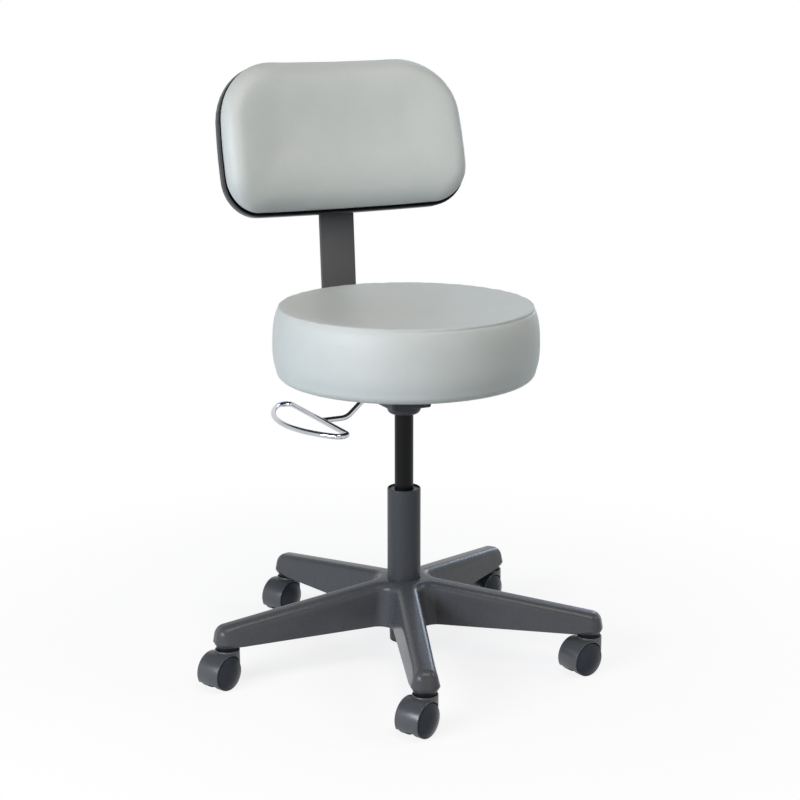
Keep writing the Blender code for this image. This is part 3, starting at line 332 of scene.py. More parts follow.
def moulded_nylon(name, dark, pale, roughness, shine):
    made, tree, shader, place = finish(name, dark, roughness)
    shader.inputs["Specular IOR Level"].default_value = shine
    stipple = add_node(tree, "ShaderNodeTexNoise", {"Scale": 1 / STIPPLE, "Detail": 2.0},
                       {"Vector": place})
    cloud = add_node(tree, "ShaderNodeTexNoise", {"Scale": 1 / FLOW, "Detail": 1.0},
                     {"Vector": place})
    tint = add_node(tree, "ShaderNodeMix", {6: linear(dark), 7: linear(pale)},
                    {0: cloud.outputs["Fac"]}, data_type="RGBA")
    dull = add_node(tree, "ShaderNodeMapRange",
                    {"To Min": roughness - 0.02, "To Max": roughness + 0.03},
                    {"Value": cloud.outputs["Fac"]})
    relief = add_node(tree, "ShaderNodeBump", {"Strength": 0.015, "Distance": STIPPLE / 8},
                      {"Height": stipple.outputs["Fac"]})
    surface(tree, shader, tint.outputs[2], dull.outputs[0], relief.outputs[0])
    return made


NYLON = moulded_nylon("moulded_charcoal_nylon", "#4A4C4F", "#4E5053", 0.27, 0.22)
HOOD_NYLON = moulded_nylon("satin_charcoal_nylon", "#45484B", "#4B4E51", 0.29, 0.54)
WHEEL_NYLON = moulded_nylon("moulded_black_nylon", "#33373E", "#393D44", 0.28, 0.12)
print("made", NYLON.name, HOOD_NYLON.name, "and", WHEEL_NYLON.name)

# %% [markdown]
# The cover behind the pad is polypropylene with a pebbled tool texture, duller than nylon.

# %% Polypropylene
PEBBLE = 0.0022            # real pebble is about 1 mm: drawn twice as coarse to show


def pebbled_polypropylene():
    made, tree, shader, place = finish("pebbled_charcoal_polypropylene", "#2E3033", 0.36)
    shader.inputs["Specular IOR Level"].default_value = 0.28
    pebble = add_node(tree, "ShaderNodeTexVoronoi", {"Scale": 1 / PEBBLE, "Smoothness": 0.6},
                      {"Vector": place}, feature="SMOOTH_F1")
    tint = add_node(tree, "ShaderNodeMix", {6: linear("#303235"), 7: linear("#292B2E")},
                    {0: pebble.outputs["Distance"]}, data_type="RGBA")
    shine = add_node(tree, "ShaderNodeMapRange", {"To Min": 0.32, "To Max": 0.42},
                     {"Value": pebble.outputs["Distance"]})
    relief = add_node(tree, "ShaderNodeBump", {"Strength": 0.18, "Distance": PEBBLE / 8},
                      {"Height": pebble.outputs["Distance"]})
    surface(tree, shader, tint.outputs[2], shine.outputs[0], relief.outputs[0])
    return made


POLYPROPYLENE = pebbled_polypropylene()
print("made", POLYPROPYLENE.name)

# %% [markdown]
# Powder coat melts on the steel as it cures and dries with a slight orange peel. The gas tube
# is smooth black enamel instead, which is why it looks darker than the column.

# %% Powder coat and enamel
ORANGE_PEEL = 0.0026       # ripples of a cured powder coat, 2 to 3 mm apart
ENAMEL_WAVE = 0.020        # long waves of a sprayed coat


def paint(name, dark, pale, roughness, shine, wave, peel):
    made, tree, shader, place = finish(name, dark, roughness)
    shader.inputs["Specular IOR Level"].default_value = shine
    ripple = add_node(tree, "ShaderNodeTexNoise", {"Scale": 1 / wave, "Detail": 2.0},
                      {"Vector": place})
    tint = add_node(tree, "ShaderNodeMix", {6: linear(dark), 7: linear(pale)},
                    {0: ripple.outputs["Fac"]}, data_type="RGBA")
    dull = add_node(tree, "ShaderNodeMapRange",
                    {"To Min": roughness - 0.04, "To Max": roughness + 0.06},
                    {"Value": ripple.outputs["Fac"]})
    relief = add_node(tree, "ShaderNodeBump", {"Strength": peel, "Distance": wave / 12},
                      {"Height": ripple.outputs["Fac"]})
    surface(tree, shader, tint.outputs[2], dull.outputs[0], relief.outputs[0])
    return made


POWDER_COAT = paint("charcoal_powder_coat", "#434548", "#4A4C4F", 0.36, 0.15, ORANGE_PEEL, 0.06)
BAR_PAINT = paint("graphite_powder_coat", "#545454", "#5A5A5A", 0.44, 0.15, ORANGE_PEEL, 0.06)
ENAMEL = paint("smooth_black_enamel", "#0B0B0C", "#121314", 0.36, 0.15, ENAMEL_WAVE, 0.02)
print("made", POWDER_COAT.name, BAR_PAINT.name, "and", ENAMEL.name)

# %% [markdown]
# The lever is bright chrome over polished wire: a mirror, with only faint handling marks. Pins,
# screws and bolts are zinc plated, whose crystals leave a soft spangle.

# %% Chrome and zinc
HANDLING = 0.030           # finger marks
SPANGLE = 0.0030           # real crystals are under 1 mm: drawn coarser to show


def plated(name, dark, pale, low, high, grain):
    made, tree, shader, place = finish(name, pale, low, 1.0)
    crystal = add_node(tree, "ShaderNodeTexVoronoi", {"Scale": 1 / grain, "Smoothness": 1.0},
                       {"Vector": place}, feature="SMOOTH_F1")
    tint = add_node(tree, "ShaderNodeMix", {6: linear(dark), 7: linear(pale)},
                    {0: crystal.outputs["Distance"]}, data_type="RGBA")
    shine = add_node(tree, "ShaderNodeMapRange", {"To Min": low, "To Max": high},
                     {"Value": crystal.outputs["Distance"]})
    surface(tree, shader, tint.outputs[2], shine.outputs[0])
    return made


CHROME = plated("bright_chrome", "#B6BAC0", "#C6C9CD", 0.04, 0.08, HANDLING)
ZINC = plated("bright_zinc", "#9EA2A6", "#BCBFC2", 0.26, 0.40, SPANGLE)
print("made", CHROME.name, "and", ZINC.name)

# %% [markdown]
# The seat board is birch plywood stained black, and the long lines of its face veneer still show
# through the stain. The bumper and seal are moulded rubber, nearly black and without shine.

# %% Plywood and rubber
GRAIN_LINE = 0.0030        # real lines are about 1 mm apart: drawn coarser to show
GRAIN_STRETCH = 14         # grain lines are this many times longer than they are wide
RUBBER_GRAIN = 0.0012      # real grain is about 0.2 mm: drawn coarser to show


def stained_plywood():
    made, tree, shader, place = finish("black_stained_plywood", "#2A2622", 0.62)
    along = add_node(tree, "ShaderNodeMapping", {"Scale": (1.0, 1 / GRAIN_STRETCH, 1.0)},
                     {"Vector": place})
    line = add_node(tree, "ShaderNodeTexNoise",
                    {"Scale": 1 / GRAIN_LINE, "Detail": 4.0, "Distortion": 0.6},
                    {"Vector": along.outputs[0]})
    tint = add_node(tree, "ShaderNodeMix", {6: linear("#1D1A18"), 7: linear("#37322D")},
                    {0: line.outputs["Fac"]}, data_type="RGBA")
    relief = add_node(tree, "ShaderNodeBump", {"Strength": 0.15, "Distance": GRAIN_LINE / 10},
                      {"Height": line.outputs["Fac"]})
    surface(tree, shader, tint.outputs[2], normal=relief.outputs[0])
    return made


def moulded_rubber():
    made, tree, shader, place = finish("moulded_black_rubber", "#161617", 0.78)
    grain = add_node(tree, "ShaderNodeTexNoise", {"Scale": 1 / RUBBER_GRAIN}, {"Vector": place})
    shine = add_node(tree, "ShaderNodeMapRange", {"To Min": 0.70, "To Max": 0.86},
                     {"Value": grain.outputs["Fac"]})
    surface(tree, shader, roughness=shine.outputs[0])
    return made


PLYWOOD = stained_plywood()
RUBBER = moulded_rubber()
print("made", PLYWOOD.name, "and", RUBBER.name)


# %% [markdown]
# ## Shape helpers
#
# Most pieces are turned, lofted through rings, or carved from simpler bodies. Corners are arcs
# in the outline itself, so a turned piece needs no bevel afterwards.

# %% Outlines
def rounded(points, closed=False, step=12):
    """A line of (x, y, radius) points with each corner an arc; a radius of 0 stays sharp."""
    line = []
    for i, (x, y, radius) in enumerate(points):
        corner = Vector((x, y))
        at_end = not closed and i in (0, len(points) - 1)
        if radius == 0 or at_end:
            line.append(corner)
            continue
        back = (Vector(points[i - 1][:2]) - corner).normalized()
        ahead = (Vector(points[(i + 1) % len(points)][:2]) - corner).normalized()
        half = back.angle(ahead) / 2
        centre = corner + (back + ahead).normalized() * radius / math.sin(half)
        start = corner + back * radius / math.tan(half) - centre
        end = corner + ahead * radius / math.tan(half) - centre
        turn = math.atan2(start.cross(end), start.dot(end))
        count = max(2, round(abs(math.degrees(turn)) / step))
        line += [centre + Matrix.Rotation(turn * k / count, 2) @ start for k in range(count + 1)]
    return line


def arc(centre, radius, start, end, steps):
    """Points on an arc, both ends included; angles in radians."""
    turns = [start + (end - start) * i / steps for i in range(steps + 1)]
    return [(centre[0] + radius * math.cos(a), centre[1] + radius * math.sin(a)) for a in turns]


print("a quarter arc in 8 steps has", len(arc((0, 0), 1, 0, math.pi / 2, 8)), "points")


# %% Turned and lofted bodies
def lathe(profile, steps=96):
    """Turn (radius, height) points round Z; a line that starts off the axis closes on itself."""
    shape = bmesh.new()
    rows = []
    for radius, height in profile:
        turns = [2 * math.pi * i / steps for i in range(steps if radius > 0 else 1)]
        rows.append([shape.verts.new((radius * math.cos(a), radius * math.sin(a), height))
                     for a in turns])
    if profile[0][0] > 0:
        rows.append(rows[0])
    for upper, lower in zip(rows, rows[1:]):
        for i in range(steps):
            j = (i + 1) % steps
            corners = [upper[i % len(upper)], lower[i % len(lower)], lower[j % len(lower)],
                       upper[j % len(upper)]]
            shape.faces.new(list(dict.fromkeys(corners)))
    bmesh.ops.recalc_face_normals(shape, faces=shape.faces)
    return shape


def loft(rings, capped=True):
    """A skin through rings of points, capped by ladders of faces or closed end to end."""
    shape = bmesh.new()
    rows = [[shape.verts.new(point) for point in ring] for ring in rings]
    count = len(rows[0])
    pairs = list(zip(rows, rows[1:]))
    if not capped:
        pairs.append((rows[-1], rows[0]))
    for upper, lower in pairs:
        for i in range(count):
            j = (i + 1) % count
            shape.faces.new((upper[i], upper[j], lower[j], lower[i]))
    for row in (rows[0], rows[-1]) if capped else ():
        for i in range(count // 2):
            rung = [row[i], row[i + 1], row[count - i - 1], row[-i]]
            shape.faces.new(list(dict.fromkeys(rung)))
    bmesh.ops.recalc_face_normals(shape, faces=shape.faces)
    return shape


def block(low, high):
    """A box between two corners."""
    low, high = Vector(low), Vector(high)
    shape = bmesh.new()
    bmesh.ops.create_cube(shape, size=1)
    bmesh.ops.scale(shape, vec=high - low, verts=shape.verts)
    bmesh.ops.translate(shape, vec=(low + high) / 2, verts=shape.verts)
    return shape


def set_at(shape, matrix):
    """Move a body, and hand it back."""
    bmesh.ops.transform(shape, matrix=matrix, verts=shape.verts)
    return shape


# %% Carving and dressing
def as_mesh(name, shape):
    """A mesh from a body, which is used up."""
    mesh = bpy.data.meshes.new(name)
    shape.to_mesh(mesh)
    shape.free()
    return mesh


def carved(name, shape, joined=(), cut=(), edge=0.0, soft=2):
    """A mesh of one body with others joined to it, then others cut away, then its edges eased."""
    link = bpy.context.scene.collection.objects.link
    work = bpy.data.objects.new(name, as_mesh(name, shape))
    link(work)
    tools = []
    for operation, bodies in (("UNION", joined), ("DIFFERENCE", cut)):
        for body in bodies:
            tool = bpy.data.objects.new(name + "_tool", as_mesh(name + "_tool", body))
            link(tool)
            tools.append(tool)
            boolean = work.modifiers.new(operation, "BOOLEAN")
            boolean.operation = operation
            boolean.object = tool
            boolean.solver = "MANIFOLD"
    if edge:
        easing = work.modifiers.new("easing", "BEVEL")
        easing.width = edge
        easing.segments = soft
        easing.limit_method = "ANGLE"
        easing.angle_limit = math.radians(40)
    bpy.context.view_layer.update()
    graph = bpy.context.evaluated_depsgraph_get()
    mesh = bpy.data.meshes.new_from_object(work.evaluated_get(graph))
    for one in [work] + tools:
        bpy.data.objects.remove(one)
    return mesh


def piece(name, mesh, coat, body, slot, *nodes, at=None, sharp=38):
    """Coat a copy of a mesh, set it in place, and let it ride on its body for its nodes."""
    mesh = mesh.copy()
    mesh.name = name
    mesh.transform(at or Matrix())
    mesh.materials.clear()
    mesh.materials.append(coat)
    mesh.shade_smooth()
    mesh.set_sharp_from_angle(angle=math.radians(sharp))
    made = bpy.data.objects.new(name, mesh)
    bpy.context.scene.collection.objects.link(made)
    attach(made, body)
    if nodes:
        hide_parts(*nodes)
    return made


on_column = Matrix.Translation(column_axis)
print("column stands at", on_column.translation.xy)


# %% [markdown]
# ## Cushions
#
# A pad is vinyl stretched over foam and sewn or stapled at its edges. The mesh is built a
# little slack, and a short Cloth run with inside pressure swells it between the rows that are
# held. Each point may only move a few millimetres, so the pad keeps its size.

# %% Swell a pad
SWELL_FRAMES = 16
PUFF = 3.0                 # inside pressure
SWELL_MOST = 0.003         # no point moves further than this


def swell(pad, held, pressure, most):
    """Swell a pad with Cloth, hold it at its sewn points, and keep each point near its start."""
    start = [vertex.co.copy() for vertex in pad.data.vertices]
    sewn = pad.vertex_groups.new(name="sewn")
    sewn.add(held, 1.0, "REPLACE")
    cloth = pad.modifiers.new("cover", "CLOTH")
    cover = cloth.settings
    cover.quality = 6
    cover.vertex_group_mass = sewn.name
    cover.use_pressure = True
    cover.uniform_pressure_force = pressure
    cover.effector_weights.gravity = 0
    cover.tension_stiffness = 30
    cover.compression_stiffness = 30
    cover.bending_stiffness = 2
    for step in range(1, SWELL_FRAMES + 1):
        bpy.context.scene.frame_set(step)
    graph = bpy.context.evaluated_depsgraph_get()
    swollen = [vertex.co.copy() for vertex in pad.evaluated_get(graph).data.vertices]
    pad.modifiers.remove(cloth)
    pad.vertex_groups.remove(sewn)
    bpy.context.scene.frame_set(1)
    widest = 0.0
    for vertex, old, new in zip(pad.data.vertices, start, swollen):
        moved = new - old
        vertex.co = old + moved * most / (most + moved.length)
        widest = max(widest, (vertex.co - old).length)
    return widest


def smooth(pad, levels=1):
    """One more division of every face, in the viewport and the render alike."""
    finer = pad.modifiers.new("finer", "SUBSURF")
    finer.levels = levels
    finer.render_levels = levels


print("pads swell for", SWELL_FRAMES, "frames")

# %% [markdown]
# The seat is a drum of foam. A dished top panel meets the side band at a thin rolled edge, with
# a sewn groove just under it, and the band swells and turns under the board.

# %% Seat cushion
SEAT_STEPS = 120
SEAM_R = 0.1885
SEAT_FOOT_R = 0.1910
SEAT_BULGE = 0.0058
BULGE_POWER = 2.8          # 2 is a plain arc, more is squarer
SEAT_RISE = 0.0012         # seam above the solid, where foam pushes it up
SEAT_EDGE = 0.014
SEAT_DISH = 0.0115
DISH_POWER = 2.4           # how flat the middle of the dish is
DISH_ROWS = 16
BAND_ROWS = 14
ROLL_R = 0.0022            # rolled edge round the top
GROOVE_IN = 0.0022
GROOVE_DOWN = 0.0042       # groove below the rolled edge's top
FIT = 0.0003

seat_low, seat_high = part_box("seat_cushion")
board_low, board_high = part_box("seat_board")
seat_place = Matrix.Translation(((seat_low.x + seat_high.x) / 2, (seat_low.y + seat_high.y) / 2, 0))


def seat_rows():
    """Rows of (radius, height) from the middle of the top to the board's recess."""
    bead = SEAM_R - ROLL_R
    seam = seat_high.z + SEAT_RISE
    rows = [(bead * i / DISH_ROWS, seam - SEAT_DISH * (1 - (i / DISH_ROWS) ** DISH_POWER))
            for i in range(DISH_ROWS)]
    rows += arc((bead, seam - ROLL_R), ROLL_R, math.radians(95), math.radians(-25), 8)
    groove = len(rows)
    rows.append((SEAM_R - GROOVE_IN, seam - GROOVE_DOWN))
    high = seam - GROOVE_DOWN - GROOVE_IN
    low = seat_low.z + SEAT_EDGE
    for i in range(BAND_ROWS + 1):
        share = i / BAND_ROWS
        straight = SEAM_R + (SEAT_FOOT_R - SEAM_R) * share
        bulge = 1 - abs(2 * share - 1) ** BULGE_POWER
        rows.append((straight + SEAT_BULGE * bulge, high + (low - high) * share))
    rows += arc((SEAT_FOOT_R - SEAT_EDGE, low), SEAT_EDGE, 0, -math.pi / 2, 7)[1:]
    under = len(rows) - 1
    recess = (board_high.x - board_low.x) / 2 + FIT
    roof = board_high.z + FIT
    rows += [(recess, seat_low.z), (recess, roof), (recess / 2, roof), (0, roof)]
    return rows, groove, under


rows, groove, under = seat_rows()
seat = piece("seat_cushion_cover", as_mesh("seat_cover", lathe(rows, SEAT_STEPS)), VINYL, "seat",
             "grey_vinyl", "seat_cushion", at=seat_place, sharp=180)
held = [1 + (row - 1) * SEAT_STEPS + i for row in [groove, *range(under, len(rows) - 1)]
        for i in range(SEAT_STEPS)]
widest = swell(seat, held + [len(seat.data.vertices) - 1], PUFF, SWELL_MOST)
smooth(seat)
print("seat swelled by", round(widest * 1000, 2), "mm")

# %% [markdown]
# The back pad is a pillow with rolled edges, curved round the sitter. Its outline is a rounded
# rectangle, a little narrower at the top. The rings are drawn in the pad's own axes: X across,
# Y backwards, Z up the pad.

# %% Back pad outline
PAD_TOP_W = 0.373
PAD_BOTTOM_W = 0.3955
PAD_BOW = 0.008
PAD_H = 0.2322
PAD_TOP_R = 0.100
PAD_BOTTOM_R = 0.056
PAD_CURVE = 1.27           # curve round the sitter's back, in 1/m
HAT_BACK = 0.0418          # pad's middle to the knob's seat

pad_up = Vector(joint("pad_height")["axis"]).normalized()
pad_across = Vector((1, 0, 0))
pad_back = pad_up.cross(pad_across)
pad_middle = Vector(joint("height_knob_turn")["pos_m"]) - pad_back * HAT_BACK
on_pad = Matrix((pad_across, pad_back, pad_up)).transposed().to_4x4()
on_pad.translation = pad_middle


def pad_outline(inset):
    """The pad's outline drawn in by an inset, from its right-hand middle, anticlockwise."""
    def half_width(up):
        share = up / PAD_H + 0.5
        straight = PAD_BOTTOM_W + (PAD_TOP_W - PAD_BOTTOM_W) * share
        return straight / 2 + PAD_BOW * (1 - (2 * share - 1) ** 2) - inset

    def quadrant(sign, radius):
        high = PAD_H / 2 - inset
        radius = max(radius - inset, high / 4)
        level = high - radius
        corner = half_width(sign * level) - radius
        points = [(half_width(sign * level * i / 5), sign * level * i / 5) for i in range(5)]
        points += [(x, sign * y) for x, y in arc((corner, level), radius, 0, math.pi / 2, 12)]
        points += [(corner * (1 - i / 8), sign * high) for i in range(1, 8)]
        return points

    upper = quadrant(1, PAD_TOP_R)
    lower = quadrant(-1, PAD_BOTTOM_R)
    top = upper + [(0, PAD_H / 2 - inset)] + [(-x, y) for x, y in reversed(upper)]
    bottom = lower + [(0, inset - PAD_H / 2)] + [(-x, y) for x, y in reversed(lower)]
    return top + bottom[-2:0:-1]


def pad_ring(inset, depth, curve=1.0, drop=0.0, short=0.0):
    """A ring at a depth behind the pad's edge plane, bent round the sitter."""
    bend = PAD_CURVE / 2 * curve
    return [(x, depth - bend * x * x, z * (1 - short) - drop) for x, z in pad_outline(inset)]


print("pad middle:", pad_middle)

# %% Back cushion
PAD_ROLL_W = 0.027
PAD_ROLL_D = 0.0295
PAD_DISH = 0.0065
PAD_REAR = 0.004
PAD_TUCK = 0.0018
PAD_IN = 0.0012            # cushion's edge inside the cover's
FALL_FROM = 0.040          # pad's face falls back below this, from the middle down
PAD_FALL = 0.013
PAD_INNER = 0.94           # the last ring is drawn in by this share of the half height


def back_cushion():
    """Rings from the tucked rear edge, round the roll and over the hollow front."""
    rings = []
    for i in range(4):
        turn = math.pi / 2 * i / 4
        rings.append(pad_ring(PAD_IN + PAD_TUCK * (1 - math.sin(turn)), PAD_REAR * math.cos(turn)))
    held = len(rings[0])
    for i in range(11):
        turn = math.pi / 2 * i / 10
        rings.append(pad_ring(PAD_IN + PAD_ROLL_W * (1 - math.cos(turn)),
                              -PAD_ROLL_D * math.sin(turn)))
    deepest = PAD_H / 2 * PAD_INNER
    for i in range(1, 10):
        share = i / 9
        hollow = PAD_DISH * share * share * (3 - 2 * share)
        inset = PAD_IN + PAD_ROLL_W
        rings.append(pad_ring(inset + (deepest - inset) * share, hollow - PAD_ROLL_D))
    return loft([[fall_back(point) for point in ring] for ring in rings]), range(held)


def fall_back(point):
    """Let the pad's face fall back towards its lower edge."""
    x, y, z = point
    low = max((-z - FALL_FROM) / (PAD_H / 2 - FALL_FROM), 0)
    front = min(max(-(y + x * x * PAD_CURVE / 2) / PAD_ROLL_D, 0), 1)
    return x, y + PAD_FALL * front * low * low, z


shape, held = back_cushion()
back_pad = piece("back_cushion_cover", as_mesh("back_cover", shape), VINYL, "pad", "grey_vinyl",
                 "back_cushion", at=on_pad, sharp=180)
widest = swell(back_pad, list(held), PUFF, SWELL_MOST)
smooth(back_pad)
print("back pad swelled by", round(widest * 1000, 2), "mm")

# %% [markdown]
# Behind the pad sits a thin moulded cover. Its rim runs straight back from the pad's edge, then
# rounds over to a flat middle where the bar's sleeve is screwed on.

# %% Back cover
SHELL_T = 0.0025
SHELL_RIM = 0.015
SHELL_IN = -0.0012
SHELL_DROP = 0.0027
SHELL_SHORT = 0.0075       # share of its height that the cover is shorter than the pad
SHELL_DEPTH = 0.0294
SHELL_FLAT = 0.080
SHELL_LIP = 0.0009
SHELL_ROWS = 14
SHELL_CROWD = 1.6          # crowds the rings towards the rim
SHELL_ROUND = 0.66         # how soon the rim rounds over


def back_cover():
    """Outer rings from the flat middle to the rim, a rounded lip, and inner rings back again."""
    rim = PAD_REAR + FIT
    turn = rim + SHELL_RIM
    stations = [(SHELL_IN + SHELL_LIP * 0.8, rim, 0, 0), (SHELL_IN, rim + SHELL_LIP, 0, 0),
                (SHELL_IN, (rim + turn) / 2, 0, 0)]
    for i in range(SHELL_ROWS + 1):
        share = (i / SHELL_ROWS) ** SHELL_CROWD
        rise = math.sin(math.pi / 2 * share ** SHELL_ROUND)
        level = max(2 * share - 1, 0)
        stations.append((SHELL_IN + SHELL_FLAT * share, turn + (SHELL_DEPTH - turn) * rise,
                         rise * math.pi / 2, level * level * (3 - 2 * level)))
    outside = [pad_ring(inset, depth, 1 - level, SHELL_DROP, SHELL_SHORT)
               for inset, depth, lie, level in stations]
    inside = [pad_ring(inset + SHELL_T * math.cos(lie), depth - SHELL_T * math.sin(lie), 1 - level,
                       SHELL_DROP, SHELL_SHORT) for inset, depth, lie, level in stations[1:]]
    return loft(outside[::-1] + inside)


piece("back_shell_cover", as_mesh("back_shell_cover", back_cover()), POLYPROPYLENE, "pad",
      "shell_plastic", "back_shell", at=on_pad, sharp=50)
print("back cover made")

# %% [markdown]
# ## Star base
#
# The base is one moulding. A leg's plan is two tapering sides with a round end, joined to its
# neighbours by upright fillets. That plan is drawn at several heights and skinned: a flared
# foot, sides that lean in, and a ridge with rounded edges that falls from the hub to the caster.

# %% Star base
FOOT_HUB = 0.0222
FOOT_END = 0.0208
RIDGE_HUB = 0.0175
RIDGE_END = 0.0165
LEG_ROUND = 0.0125
SIDE_LEAN = math.radians(10)
TIP_CORNER = 0.0175        # upright corners of a leg's end, at its foot
TIP_SHORT = 0.0013         # leg's foot short of a full half circle
TIP_FALL = 0.004           # extra depth of the rounding at a leg's end
TIP_SWELL = 0.0014         # the shoulder is this much wider there, so that the sides stay straight
LEG_END_H = 0.0312
HUB_FLAT = 0.035
HUB_EASE = 0.012           # length over which the hub's level top turns down
LEG_FILLET = 0.022
LEG_WALL = 0.0045
RIB_T = 0.0035
POCKETS = 3
FOOT_EASE = 0.0009
TIP_IN = 0.0020            # leg's round end is drawn in above the caster's neck
TIP_UP = 0.0045
STEM_R = 0.0055
STEM_H = 0.023

leg_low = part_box("star_base")[0].z
hub_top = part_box("star_base")[1].z
LEG_STEP = 2 * math.pi / LEGS
print("hub top:", round(hub_top, 4), "legs from:", round(leg_low, 4))


# %% Plan of a leg
def leg_plan(hub, end, fillet, past=0.0):
    """One leg along +X, from the middle of one fillet to just short of the next."""
    half = LEG_STEP / 2
    taper = (hub - end) / leg_reach
    slope = math.hypot(1, taper)
    reach = (fillet * slope + hub) / (math.sin(half) + taper * math.cos(half))
    lean = math.atan(taper)
    quarter = math.pi / 2
    inner = arc((reach * math.cos(half), -reach * math.sin(half)), fillet, math.pi - half,
                quarter + lean, 8)
    corner = TIP_CORNER - FOOT_END + end
    far = leg_reach + end + past
    tip = arc((far - corner, corner - end / slope), corner, lean - quarter, 0, 10)
    tip += [(far, 0)] + [(x, -y) for x, y in reversed(tip)]
    run = [Vector(inner[-1]).lerp(Vector(tip[0]), i / 10) for i in range(1, 10)]
    side = inner + [tuple(point) for point in run]
    return side + tip + [(x, -y) for x, y in side[:0:-1]]


def ridge(x, y):
    """Height of the ridge over a point of the plan, eased where the hub's top turns down."""
    fall = (hub_top - leg_low - LEG_END_H) / (leg_reach - HUB_FLAT)
    out = math.hypot(x, y) - HUB_FLAT
    return hub_top - fall * (out + math.hypot(out, HUB_EASE)) / 2


def star_ring(hub, end, fillet, height, tip_in=0.0, past=0.0):
    """The whole star, with height a function of a leg's own x and y; tip_in draws its ends in."""
    points = []
    for leg in range(LEGS):
        turn = Matrix.Rotation(leg * LEG_STEP, 3, "Z")
        for x, y in leg_plan(hub, end, fillet, past):
            draw = 1 - tip_in / end * near_tip(x)
            drawn = Vector((leg_reach + (x - leg_reach) * draw, y * draw, height(x, y)))
            points.append(turn @ drawn)
    return points


def near_tip(x):
    """From 0 along a leg to 1 over its caster."""
    share = min(max((x - leg_reach) / FOOT_END + 1, 0), 1)
    return share * share * (3 - 2 * share)


print("points round a leg:", len(leg_plan(FOOT_HUB, FOOT_END, LEG_FILLET)))


# %% Star body
def star_body():
    """Skin the star from its foot to its ridge, and close it below and above."""
    foot = star_ring(FOOT_HUB, FOOT_END, LEG_FILLET,
                     lambda x, y: leg_low + FOOT_EASE + TIP_UP * near_tip(x), past=-TIP_SHORT)
    sole = star_ring(FOOT_HUB - FOOT_EASE, FOOT_END - FOOT_EASE, LEG_FILLET + FOOT_EASE,
                     lambda x, y: leg_low, TIP_IN, -TIP_SHORT)
    rounding = []
    for i in range(10):
        turn = SIDE_LEAN + (math.pi / 2 - SIDE_LEAN) * i / 9
        inset = LEG_ROUND * (math.cos(SIDE_LEAN) - math.cos(turn))
        low = 1 - math.sin(turn)
        rounding.append(star_ring(
            RIDGE_HUB - inset, RIDGE_END - inset, LEG_FILLET + inset,
            lambda x, y: ridge(x, y) - low * (LEG_ROUND + TIP_FALL * near_tip(x)),
            -TIP_SWELL * math.cos(turn)))
    side = [[a.lerp(b, i / 6) for a, b in zip(foot, rounding[0])] for i in range(6)]
    rings = [sole] + side + rounding
    shape = bmesh.new()
    rows = [[shape.verts.new(point) for point in ring] for ring in rings]
    count = len(rows[0])
    per_leg = count // LEGS
    for lower, upper in zip(rows, rows[1:]):
        for i in range(count):
            j = (i + 1) % count
            shape.faces.new((lower[i], lower[j], upper[j], upper[i]))
    for row in (rows[0], rows[-1]):
        shape.faces.new([row[leg * per_leg] for leg in range(LEGS)])
        for leg in range(LEGS):
            side = [row[(leg * per_leg + i) % count] for i in range(per_leg + 1)]
            for i in range(per_leg // 2):
                rung = [side[i], side[i + 1], side[per_leg - i - 1], side[per_leg - i]]
                shape.faces.new(list(dict.fromkeys(rung)))
    bmesh.ops.recalc_face_normals(shape, faces=shape.faces)
    return shape


# %% Hollows of the star base
def leg_pockets(leg):
    """Tapered blocks that hollow a leg from below and leave ribs between them."""
    first = (LEG_FILLET + FOOT_HUB) / math.tan(LEG_STEP / 2)
    last = leg_reach - FOOT_END
    length = (last - first - RIB_T * (POCKETS - 1)) / POCKETS
    turn = Matrix.Rotation(leg * LEG_STEP, 4, "Z")
    made = []
    for i in range(POCKETS):
        near = first + i * (length + RIB_T)
        tool = block((near, -1, 0), (near + length, 1, 1))
        roof = ridge(near + length, 0) - LEG_ROUND - LEG_WALL
        for corner in tool.verts:
            share = corner.co.x / leg_reach
            upper = corner.co.z > 0.5
            wide, narrow = (RIDGE_HUB, RIDGE_END) if upper else (FOOT_HUB, FOOT_END)
            corner.co.y = math.copysign(wide + (narrow - wide) * share - LEG_WALL, corner.co.y)
            corner.co.z = roof if upper else leg_low - LEG_WALL
        made.append(set_at(tool, turn))
    return made


def rod(radius, low, high, steps=48):
    """A plain round bar along Z."""
    return lathe([(0, high), (radius, high), (radius, low), (0, low)], steps)


tube_low, tube_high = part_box("column_tube")
TUBE_R = 0.025
TUBE_FOOT_R = 0.0215
tube_taper = (TUBE_R - TUBE_FOOT_R) / (hub_top - tube_low.z)
CUT_PAST = 0.01            # a cutting tool runs this far past the face that it opens
bore = [(0, hub_top + CUT_PAST), (TUBE_R + tube_taper * CUT_PAST + FIT, hub_top + CUT_PAST),
        (TUBE_FOOT_R + tube_taper * (leg_low - CUT_PAST - tube_low.z) + FIT, leg_low - CUT_PAST),
        (0, leg_low - CUT_PAST)]
hollows = [lathe(bore, 64)]
for leg in range(LEGS):
    socket = rod(STEM_R + FIT, leg_low - CUT_PAST, leg_low + STEM_H + FIT)
    out = Matrix.Rotation(leg * LEG_STEP, 4, "Z") @ Matrix.Translation((leg_reach, 0, 0))
    hollows += leg_pockets(leg) + [set_at(socket, out)]
on_star = on_column @ Matrix.Rotation(first_leg, 4, "Z")
piece("star_base_moulding", carved("star_base_moulding", star_body(), cut=hollows), NYLON, "base",
      "charcoal_nylon", "star_base", at=on_star)
print("star base carved by", len(hollows), "hollows")

# %% [markdown]
# ## Column and gas spring
#
# The steel column tapers into the hub. Its mouth has a rounded lip and holds a plastic bush, and
# the gas spring's black tube slides in that bush.

